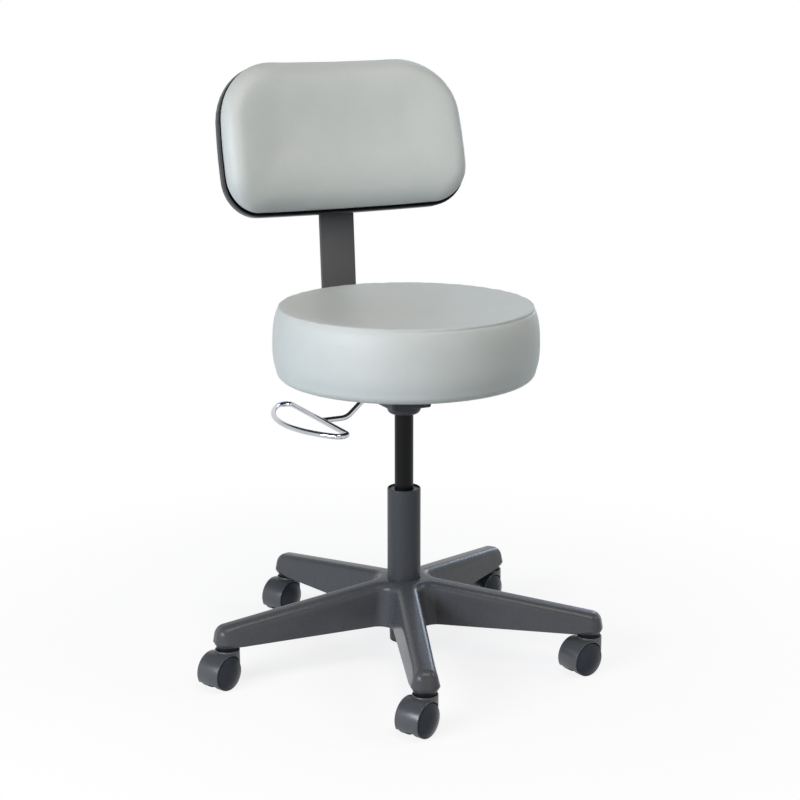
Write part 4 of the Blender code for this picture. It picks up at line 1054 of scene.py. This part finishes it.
# %% Column
GAS_R = 0.014
TUBE_WALL = 0.002
LIP = 0.0016
TUBE_FLOOR = 0.003
FLOOR_HOLE = 0.0053        # hole for the rod in the column's floor
GAS_BORE = 0.0125
GAS_TOP_R = 0.0128         # the tube tapers to this inside its socket
GAS_TOP_BORE = 0.0113
GAS_CAP = 0.012            # closed end above the bore
BUTTON_HOLE = 0.0033
BUSH_EASE = 0.0008

gas_low, gas_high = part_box("gas_tube")
bush_low, bush_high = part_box("guide_bush")
socket_low, socket_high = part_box("taper_socket")
box_low, box_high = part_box("mechanism_box")


def column_tube():
    """Outer side from the lip to the foot, then the bore back up."""
    wall = TUBE_R - TUBE_WALL
    return rounded([(TUBE_R, tube_high.z, LIP), (TUBE_R, hub_top, 0),
                    (TUBE_FOOT_R, tube_low.z, 0.001), (FLOOR_HOLE, tube_low.z, 0),
                    (FLOOR_HOLE, tube_low.z + TUBE_FLOOR, 0),
                    (TUBE_FOOT_R - TUBE_WALL, tube_low.z + TUBE_FLOOR, 0),
                    (wall, hub_top, 0), (wall, tube_high.z, 0.0003)], closed=True)


def ring_of(bore, radius, low, high, ease):
    """A plain ring with eased edges."""
    return lathe(rounded([(radius, high, ease), (radius, low, ease), (bore, low, ease),
                          (bore, high, ease)], closed=True, step=30))


piece("column_tube_painted", as_mesh("column_tube_painted", lathe(column_tube())), POWDER_COAT,
      "base", "painted_steel", "column_tube", at=on_column)
bush = ring_of(GAS_R + FIT, TUBE_R - TUBE_WALL - FIT, bush_low.z, bush_high.z, BUSH_EASE)
piece("guide_bush_moulding", as_mesh("guide_bush_moulding", bush), WHEEL_NYLON, "base",
      "wheel_plastic", "guide_bush", at=on_column)
gas = rounded([(BUTTON_HOLE, gas_high.z, 0), (GAS_TOP_R, gas_high.z, 0.0004),
               (GAS_R, socket_low.z, 0), (GAS_R, gas_low.z, 0.001), (GAS_BORE, gas_low.z, 0),
               (GAS_BORE, socket_low.z, 0), (GAS_TOP_BORE, gas_high.z - GAS_CAP, 0),
               (BUTTON_HOLE, gas_high.z - GAS_CAP, 0)], closed=True)
piece("gas_tube_enamelled", as_mesh("gas_tube_enamelled", lathe(gas)), ENAMEL, "seat",
      "black_steel", "gas_tube", at=on_column)
print("column mouth at", round(tube_high.z, 4))

# %% [markdown]
# ## Casters
#
# A twin-wheel caster has a barrel hood over both wheels and a round collar that holds the stem's
# neck. The hood is carved like its real moulding: barrel and collar joined, then the rooms for
# the wheels and the neck cut out, then all edges eased.

# %% Caster hood
WHEEL_R = 0.0255
WHEEL_FACE = 0.0203
WHEEL_DOME = 0.0058
WHEEL_EDGE = 0.0036        # rounded edge between the disc and the tread
AXLE_HOLE = 0.0033
AXLE_DEEP = 0.010
TREAD_EASE = 0.0012
WEB_T = 0.012
WEB_R = 0.012
HOOD_T = 0.0013
HOOD_CLEAR = 0.0012
HOOD_W = 0.039
HOOD_FLOOR = 0.0125
HOOD_EASE = 0.0006
HOOD_FRONT = 0.004         # barrel ends here, just past the stem
COLLAR_R = 0.0184
COLLAR_H = 0.0235
COLLAR_LIP = 0.0012
NECK_R = 0.0158
RECESS = 0.0030            # neck's room in the collar
RECESS_R = 0.0170
CLEAR_OF_CASTER = 0.1      # cutting blocks reach past the whole caster

axle = middle("caster_axle_1")
TRAIL = (stems[0] - axle.xy.to_3d()).length
caster_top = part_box("caster_hood_1")[1].z
across = Matrix.Rotation(math.pi / 2, 4, "X")
on_axle = Matrix.Translation((-TRAIL, 0, axle.z)) @ across


def caster_hood():
    """The hood in its own axes: stem on Z, axle behind it along Y."""
    outer = WHEEL_R + HOOD_CLEAR + HOOD_T
    half = HOOD_W / 2
    low = caster_top - COLLAR_H
    barrel = lathe(rounded([(0, half, 0), (outer, half, HOOD_T * 0.6), (outer, -half, HOOD_T * 0.6),
                            (0, -half, 0)], step=30), 96)
    barrel = set_at(barrel, on_axle)
    bmesh.ops.bisect_plane(barrel, geom=barrel.verts[:] + barrel.edges[:] + barrel.faces[:],
                           plane_co=(HOOD_FRONT, 0, 0), plane_no=(1, 0, 0), clear_outer=True)
    bmesh.ops.edgeloop_fill(barrel, edges=[edge for edge in barrel.edges if edge.is_boundary])
    collar = lathe(rounded([(0, caster_top, 0), (COLLAR_R, caster_top, COLLAR_LIP),
                            (COLLAR_R, low - HOOD_T, 0), (0, low - HOOD_T, 0)], step=30), 72)
    room = WHEEL_R + HOOD_CLEAR
    rooms = [set_at(rod(room, WEB_T / 2, HOOD_W, 96), on_axle),
             set_at(rod(room, -HOOD_W, -WEB_T / 2, 96), on_axle),
             rod(RECESS_R, caster_top - RECESS, caster_top + RECESS, 72),
             block((-CLEAR_OF_CASTER, -HOOD_W, -CLEAR_OF_CASTER), (CLEAR_OF_CASTER, HOOD_W, HOOD_FLOOR)),
             block((WEB_R - TRAIL, -HOOD_W, -CLEAR_OF_CASTER), (CLEAR_OF_CASTER, HOOD_W, low))]
    return carved("caster_hood", barrel, [collar], rooms, HOOD_EASE)


hood = caster_hood()
print("hood faces:", len(hood.polygons))


# %% [markdown]
# The wheels are domed black discs whose edge rounds over to the tread, so that the dome catches
# a thin light at its upper edge.

# %% Caster wheels
def wheel_profile():
    """From the middle of the domed face over the tread to the inner face."""
    inner = WEB_T / 2 + FIT
    rim = WHEEL_R - WHEEL_EDGE
    dome = [(rim * i / 12, WHEEL_FACE + WHEEL_DOME * (1 - (i / 12) ** 2)) for i in range(13)]
    side = rounded([(*dome[-1], 0), (WHEEL_R, WHEEL_FACE - WHEEL_EDGE / 3, WHEEL_EDGE * 0.8),
                    (WHEEL_R, inner, TREAD_EASE), (AXLE_HOLE, inner, 0),
                    (AXLE_HOLE, inner + AXLE_DEEP, 0), (0, inner + AXLE_DEEP, 0)], step=10)
    return dome[:-1] + [tuple(point) for point in side]


wheel = as_mesh("caster_wheel", lathe(wheel_profile(), 72))
print("wheel faces:", len(wheel.polygons))

# %% Caster stems, and all casters set in place
PIVOT_R = 0.0042           # pin below the neck, inside the hood
PIVOT_DEEP = 0.023
STEM_EASE = 0.0008


def stem_profile():
    """Stem, neck and pivot of a caster; only the neck shows."""
    top = leg_low + STEM_H
    neck = leg_low - FIT
    low = caster_top - RECESS + 2 * FIT
    return rounded([(0, top, 0), (STEM_R, top, STEM_EASE), (STEM_R, neck, 0),
                    (NECK_R, neck, STEM_EASE), (NECK_R, low, 0.0005), (PIVOT_R, low, 0),
                    (PIVOT_R, caster_top - PIVOT_DEEP, 0.0006), (0, caster_top - PIVOT_DEEP, 0)],
                   step=30)


stem = as_mesh("caster_stem", lathe(stem_profile(), 60))
for n in range(1, LEGS + 1):
    foot = stems[n - 1]
    axle_place = middle(f"caster_axle_{n}")
    heading = math.atan2(*(foot - axle_place.xy.to_3d()).yx)
    on_stem = Matrix.Translation(foot) @ Matrix.Rotation(heading, 4, "Z")
    piece(f"caster_stem_{n}_plated", stem, ENAMEL, "base", "black_steel", f"caster_stem_{n}",
          at=on_stem)
    piece(f"caster_hood_{n}_moulding", hood, HOOD_NYLON, f"caster_{n}", "charcoal_nylon",
          f"caster_hood_{n}", at=on_stem)
    for side, sign in (("left", 1), ("right", -1)):
        facing = on_stem @ Matrix.Translation((-TRAIL, 0, axle.z)) @ Matrix.Rotation(
            -sign * math.pi / 2, 4, "X")
        piece(f"caster_wheel_{n}_{side}_disc", wheel, WHEEL_NYLON, f"wheel_{n}_{side}",
              "wheel_plastic", f"caster_wheel_{n}_{side}", at=facing)
print("casters:", LEGS)

# %% [markdown]
# ## Mechanism under the seat
#
# The gas tube's taper sits in a bowl-shaped socket under a pressed box, and a steel plate on top
# of the box is bolted to the plywood seat board.

# %% Mechanism
BOX_ROUND = 0.0045
BOX_WALL = 0.0025
BOX_DROP = 0.004           # pressed bottom below the solid
PLATE_ROUND = 0.012
PLATE_EASE = 0.0006
SLOT_CLEAR = 0.0015
LEVER_R = 0.004
BOX_EASE = 0.003
BOWL_FOOT_R = 0.019
BOWL_R = 0.0255
SOCKET_R = 0.0185          # socket's collar inside the box
TAPER_IN = 0.0006          # socket's bore is this much tighter at its top
BOARD_TOP_EASE = 0.001
BOARD_EASE = 0.0015

plate_low, plate_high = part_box("seat_plate")
lever_pivot = Vector(joint("lever_press")["pos_m"])


def bowl_profile():
    """The socket: a collar in the box, then the bowl down to the gas tube."""
    high = box_low.z - BOX_DROP - FIT
    swell_out = BOWL_R - BOWL_FOOT_R
    bowl = [(BOWL_FOOT_R + swell_out * math.cos(a), high - (high - socket_low.z) * math.sin(a))
            for a in [math.pi / 2 * i / 12 for i in range(13)]]
    return [(SOCKET_R, socket_high.z), (SOCKET_R, high)] + bowl + [
        (GAS_R + FIT, socket_low.z), (GAS_R - TAPER_IN, socket_high.z)]


def rounded_slab(outline, low, high, ease):
    """A slab of an (x, y, radius) outline with eased edges; the outline runs anticlockwise."""
    middle_x = (min(p[0] for p in outline) + max(p[0] for p in outline)) / 2
    middle_y = (min(p[1] for p in outline) + max(p[1] for p in outline)) / 2

    def ring(inset, height):
        drawn = [(x - math.copysign(inset, x - middle_x), y - math.copysign(inset, y - middle_y),
                  radius - inset) for x, y, radius in outline]
        return [(*point, height) for point in rounded(drawn, closed=True)]

    turns = [math.pi / 2 * i / 3 for i in range(4)]
    lower = [ring(ease * (1 - math.sin(a)), low + ease * (1 - math.cos(a))) for a in turns]
    upper = [ring(ease * (1 - math.sin(a)), high - ease * (1 - math.cos(a))) for a in turns]
    return loft(lower + upper[::-1])


def corners(low, high, radius):
    """A rectangle's corners, anticlockwise, for a rounded outline."""
    return [(high.x, high.y, radius), (low.x, high.y, radius), (low.x, low.y, radius),
            (high.x, low.y, radius)]


piece("taper_socket_cast", as_mesh("taper_socket_cast", lathe(bowl_profile())), POWDER_COAT, "seat",
      "painted_steel", "taper_socket", at=on_column)
shell = rounded_slab(corners(box_low, box_high, BOX_ROUND), box_low.z - BOX_DROP, box_high.z,
                     BOX_EASE)
wall = Vector((BOX_WALL, BOX_WALL, BOX_WALL))
hollow = block(box_low + wall, box_high + Vector((-BOX_WALL, -BOX_WALL, BOX_WALL)))
neck_hole = set_at(rod(SOCKET_R + FIT, box_low.z - BOX_DROP - BOX_WALL, box_low.z + 2 * BOX_WALL),
                   on_column)
slot = LEVER_R + SLOT_CLEAR
lever_slot = block((box_low.x - BOX_WALL, lever_pivot.y - slot, lever_pivot.z - slot),
                   (box_low.x + 1.5 * BOX_WALL, lever_pivot.y + slot, box_high.z + BOX_WALL))
piece("mechanism_box_pressed", carved("mechanism_box_pressed", shell,
                                      cut=[hollow, neck_hole, lever_slot]),
      POWDER_COAT, "seat", "painted_steel", "mechanism_box")
piece("seat_plate_pressed", as_mesh("seat_plate_pressed", rounded_slab(
    corners(plate_low, plate_high, PLATE_ROUND), plate_low.z, plate_high.z, PLATE_EASE)),
    POWDER_COAT, "seat", "painted_steel", "seat_plate")
board_r = (board_high.x - board_low.x) / 2
board = rounded([(0, board_high.z, 0), (board_r, board_high.z, BOARD_TOP_EASE),
                 (board_r, board_low.z, BOARD_EASE), (0, board_low.z, 0)], step=30)
piece("seat_board_plywood", as_mesh("seat_board_plywood", lathe(board, 120)), PLYWOOD, "seat",
      "plywood", "seat_board", at=seat_place)
print("mechanism made")


# %% [markdown]
# Bolts under the plate and screws behind the pad have round heads with a hexagon socket. The
# head is drawn as rings that change from a circle to a hexagon.

# %% Screws
KEY_CHAMFER = 0.0002
SCREWS = 4                 # under the plate, and behind the pad


def screw_body(shank, head, tall, length, key):
    """A screw along Z with its head above zero; key is the socket's half width."""
    steps = 36

    def ring(radius, height, hexagon=False):
        points = []
        for i in range(steps):
            a = 2 * math.pi * i / steps
            reach = radius
            if hexagon:
                reach /= math.cos((a % (math.pi / 3)) - math.pi / 6)
            points.append((reach * math.cos(a), reach * math.sin(a), height))
        return points

    ease = tall / 3
    rings = [ring(shank * 0.8, -length), ring(shank, -length + shank * 0.4), ring(shank, 0),
             ring(head - ease / 3, 0), ring(head, ease / 3), ring(head, tall - ease),
             ring(head - ease * 0.3, tall - ease * 0.3), ring(head - ease, tall),
             ring(key * 1.2, tall), ring(key, tall - KEY_CHAMFER, True),
             ring(key, tall / 3, True)]
    return loft(rings)


HEAD_DOWN = Matrix.Rotation(math.pi, 4, "X")
bolt = as_mesh("seat_bolt", screw_body(shank=0.003, head=0.005, tall=0.0035, length=0.013,
                                       key=0.0022))
for n in range(1, SCREWS + 1):
    low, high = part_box(f"seat_bolt_{n}")
    spot = Vector(((low.x + high.x) / 2, (low.y + high.y) / 2, plate_low.z - FIT))
    piece(f"seat_bolt_{n}_plated", bolt, ZINC, "seat", "zinc_steel", f"seat_bolt_{n}",
          at=Matrix.Translation(spot) @ HEAD_DOWN)

SCREW_SEAT = 0.0330        # pad's middle to the flange's rear face
into_back = Matrix.Rotation(-math.pi / 2, 4, "X")
screw = as_mesh("back_screw", screw_body(shank=0.002, head=0.004, tall=0.0024, length=0.020,
                                         key=0.0015))
for n in range(1, SCREWS + 1):
    spot = on_pad.inverted() @ middle(f"back_screw_{n}")
    seat_spot = Matrix.Translation((spot.x, SCREW_SEAT, spot.z))
    piece(f"back_screw_{n}_plated", screw, ZINC, "pad", "zinc_steel", f"back_screw_{n}",
          at=on_pad @ seat_spot @ into_back)
print("screws and bolts:", 2 * SCREWS)

# %% [markdown]
# ## Release lever
#
# The lever is one chromed wire: a D-shaped loop to grip, on a stem that bends up into the
# mechanism. The loop and the stem are each swept along their own line, and the stem spreads
# where it is welded to the loop's straight side.

# %% Release lever
LOOP_DROP = 0.0420
LOOP_BAR = 0.111
LOOP_W = 0.058
LOOP_ARC = 0.159
LOOP_CORNER = 0.012
LOOP_BACK = 0.0115
STEM_KNEE = 0.0715
STEM_TOP = 0.024
STEM_BEND = 0.024
STEM_END = 0.047           # past the pivot, over the valve
WELD_R = 0.006
WIRE_SIDES = 24


def swept(line, radius, upward, closed=False, spread=None):
    """A round wire along a line that lies in one plane, whose normal is given."""
    rings = []
    for i, point in enumerate(line):
        before = line[i - 1] if i or closed else point
        after = line[(i + 1) % len(line)] if i + 1 < len(line) or closed else point
        aside = upward.cross(after - before).normalized()
        wide = radius * (spread(point) if spread else 1)
        turns = [2 * math.pi * k / WIRE_SIDES for k in range(WIRE_SIDES)]
        rings.append([point + aside * radius * math.cos(a) + upward * wide * math.sin(a)
                      for a in turns])
    return loft(rings, capped=not closed)


def loop_line():
    """The loop in plan: a straight bar, two round corners and a long outer arc."""
    arc_x = LOOP_ARC - LOOP_W
    corner_y = math.sqrt((LOOP_ARC - LOOP_CORNER) ** 2 - (arc_x + LOOP_CORNER) ** 2)
    lean = math.atan2(corner_y, arc_x + LOOP_CORNER)
    corner = arc((-LOOP_CORNER, corner_y), LOOP_CORNER, 0, math.pi - lean, 16)
    outer = arc((arc_x, 0), LOOP_ARC, math.pi - lean, math.pi + lean, 36)
    plan = corner + outer[1:-1] + [(x, -y) for x, y in reversed(corner)]
    bar = [(0, -corner_y + 2 * corner_y * i / 16) for i in range(1, 16)]
    return [lever_pivot + Vector((x - LOOP_BAR, y + LOOP_BACK, -LOOP_DROP)) for x, y in plan + bar]


def stem_line():
    """The stem from the loop's bar, up its two bends, to the valve."""
    turns = rounded([(-LOOP_BAR, -LOOP_DROP, 0), (-LOOP_BAR + LEVER_R + WELD_R, -LOOP_DROP, 0),
                     (-STEM_KNEE, -LOOP_DROP, STEM_BEND), (-STEM_TOP, 0, STEM_BEND),
                     (STEM_END, 0, 0)], step=5)
    weld = [Vector((-LOOP_BAR + (LEVER_R + WELD_R) * i / 12, -LOOP_DROP)) for i in range(12)]
    return [lever_pivot + Vector((x, 0, z)) for x, z in weld + turns[1:]]


def weld_spread(point):
    """How much wider the stem is near the loop's bar, as a fillet spreads."""
    away = point.x - (lever_pivot.x - LOOP_BAR)
    inside = min(max(LEVER_R + WELD_R - away, 0), WELD_R)
    return 1 + (WELD_R - math.sqrt(WELD_R ** 2 - inside ** 2)) / LEVER_R


piece("release_lever_loop", as_mesh("release_lever_loop", swept(
    loop_line(), LEVER_R, Vector((0, 0, 1)), closed=True)), CHROME, "lever", "chrome",
    "release_lever", sharp=60)
piece("release_lever_stem", as_mesh("release_lever_stem", swept(
    stem_line(), LEVER_R, Vector((0, 1, 0)), spread=weld_spread)), CHROME, "lever", "chrome", sharp=60)
print("lever made")

# %% [markdown]
# ## Backrest bar, sleeves and knobs
#
# The bar is a flat steel strip bent under the seat and again behind the pad. It slides in one
# sleeve under the seat plate, and another sleeve behind the pad slides on it. A lobed knob
# clamps each.

# %% Backrest bar
BAR_W = 0.058
BAR_T = 0.006
BAR_EDGE = 0.0014
BAR_LEAN = math.radians(4.07)
BAR_BEND_R = 0.025
BAR_KINK_R = 0.040
BAR_KINK = 0.105
BAR_TOP = 0.060
BAR_FRONT = 0.0330

bar_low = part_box("backrest_bar")[0]
bar_z = bar_low.z + BAR_T / 2


def bar_line():
    """The bar's middle line in Y and Z, from under the seat to its top."""
    depth = BAR_FRONT + BAR_T / 2
    kink, top = [on_pad @ Vector((0, depth, up)) for up in (-BAR_KINK, BAR_TOP)]
    turn_y = kink.y - (kink.z - bar_z) * math.tan(BAR_LEAN)
    return rounded([(bar_low.y, bar_z, 0), (turn_y, bar_z, BAR_BEND_R),
                    (kink.y, kink.z, BAR_KINK_R), (top.y, top.z, 0)], step=4)


def flat_bar():
    """The strip's rounded section carried along the bar's line."""
    half, thin = BAR_W / 2, BAR_T / 2
    section = rounded([(half, thin, BAR_EDGE), (-half, thin, BAR_EDGE), (-half, -thin, BAR_EDGE),
                       (half, -thin, BAR_EDGE)], closed=True, step=22.5)
    line = bar_line()
    rings = []
    for i, point in enumerate(line):
        along = line[min(i + 1, len(line) - 1)] - line[max(i - 1, 0)]
        normal = Vector((-along.y, along.x)).normalized()
        rings.append([(column_axis.x + x, *(point + normal * y)) for x, y in section])
    return loft(rings)


piece("backrest_bar_painted", as_mesh("backrest_bar_painted", flat_bar()), BAR_PAINT, "bar",
      "painted_steel", "backrest_bar")
print("bar made")

# %% Sleeves
SLEEVE_WALL = 0.0025
FLANGE_Y = 0.0297
FLANGE_T = 0.003
FLANGE_W = 0.120
FLANGE_H = 0.064
FLANGE_ROUND = 0.008
KNOB_HOLE = 0.0043
HOLE_BELOW = 0.020
HOLE_ABOVE = 0.015
SLEEVE_EASE = 0.0007

sleeve_low, sleeve_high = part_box("bar_sleeve")
wall = Vector((SLEEVE_WALL, -SLEEVE_WALL, SLEEVE_WALL))
knob_spot = Vector(joint("depth_knob_turn")["pos_m"])
hole = set_at(rod(KNOB_HOLE, -HOLE_BELOW, HOLE_ABOVE), Matrix.Translation(knob_spot))
piece("bar_sleeve_welded", carved(
    "bar_sleeve_welded", block(sleeve_low, sleeve_high),
    cut=[block(sleeve_low + wall, sleeve_high - wall), hole], edge=SLEEVE_EASE),
    POWDER_COAT, "seat", "painted_steel", "bar_sleeve")


def height_sleeve():
    """A flange with round corners, and the hat that the bar passes through."""
    half = FLANGE_H / 2
    way = BAR_W / 2 + FIT
    hat = way + SLEEVE_WALL
    front = FLANGE_Y + FLANGE_T
    upright = Matrix.Rotation(math.pi / 2, 4, "X")
    outline = corners(Vector((-FLANGE_W / 2, -half)), Vector((FLANGE_W / 2, half)), FLANGE_ROUND)
    flange = set_at(rounded_slab(outline, -front, -FLANGE_Y, PLATE_EASE), upright)
    body = block((-hat, front - FLANGE_T / 2, -half), (hat, HAT_BACK, half))
    passage = block((-way, front, -half - CUT_PAST),
                    (way, HAT_BACK - SLEEVE_WALL, half + CUT_PAST))
    knob_hole = set_at(rod(KNOB_HOLE, front, HAT_BACK + CUT_PAST), into_back)
    return carved("height_sleeve_welded", flange, [body], [passage, knob_hole], SLEEVE_EASE)


piece("height_sleeve_welded", height_sleeve(), POWDER_COAT, "pad", "painted_steel",
      "height_sleeve", at=on_pad)
print("sleeves made")

# %% Clamp knobs
KNOB_R = 0.0165
KNOB_H = 0.021
KNOB_NECK_R = 0.0085
KNOB_NECK_H = 0.004
KNOB_LOBES = 6
KNOB_SCALLOP = 0.0028
KNOB_STEPS = 120
KNOB_SCREW_R = 0.0039
KNOB_DISH_R = 0.007        # shallow dish in the knob's top
KNOB_DISH = 0.0008
LOBE_POWER = 1.5           # narrows the scallops between the lobes


def lobed_knob():
    """Rings up the knob, drawn in between its lobes; its screw points down."""
    head = KNOB_NECK_H + KNOB_H
    dish = head - KNOB_DISH
    profile = rounded([(KNOB_SCREW_R, -SLEEVE_WALL, 0), (KNOB_SCREW_R, FIT, 0),
                       (KNOB_NECK_R, FIT, 0.0004), (KNOB_NECK_R, KNOB_NECK_H, 0.001),
                       (KNOB_R, KNOB_NECK_H, 0.0035), (KNOB_R, head, 0.0045),
                       (KNOB_DISH_R, head, 0.0006), (KNOB_DISH_R - 0.0005, dish, 0.0004),
                       (0.001, dish, 0)], step=15)
    rings = []
    for radius, height in profile:
        lobed = min(max((radius - KNOB_NECK_R) / (KNOB_R - KNOB_NECK_R), 0), 1)
        ring = []
        for i in range(KNOB_STEPS):
            a = 2 * math.pi * i / KNOB_STEPS
            dip = KNOB_SCALLOP * lobed * (0.5 + 0.5 * math.cos(KNOB_LOBES * a)) ** LOBE_POWER
            ring.append(((radius - dip) * math.cos(a), (radius - dip) * math.sin(a), height))
        rings.append(ring)
    return loft(rings)


knob = as_mesh("clamp_knob", lobed_knob())
under_sleeve = Matrix.Translation((knob_spot.x, knob_spot.y, sleeve_low.z)) @ HEAD_DOWN
piece("depth_knob_moulding", knob, NYLON, "depth_clamp", "charcoal_nylon", "depth_knob",
      at=under_sleeve)
behind_pad = on_pad @ Matrix.Translation((0, HAT_BACK, 0)) @ into_back
piece("height_knob_moulding", knob, NYLON, "height_clamp", "charcoal_nylon", "height_knob",
      at=behind_pad)
print("knobs made")

# %% [markdown]
# ## Pieces inside
#
# Pins, bearings, seals and boards inside the stool hardly show. Their solids are right as they
# are, so they stay and only take their finish.

# %% Pieces inside
inner = {
    ZINC: ["thrust_bearing", "piston_rod", "piston", "retaining_clip", "lever_pin", "valve_button"]
    + [f"caster_axle_{n}" for n in range(1, LEGS + 1)],
    RUBBER: ["bumper", "rod_guide"],
    PLYWOOD: ["back_board"],
}
for coat, names in inner.items():
    for name in names:
        mesh = frame["nodes"][name].data
        mesh.materials.clear()
        mesh.materials.append(coat)
print("inner pieces:", sum(len(names) for names in inner.values()))

# %% Last update of the scene
bpy.context.view_layer.update()
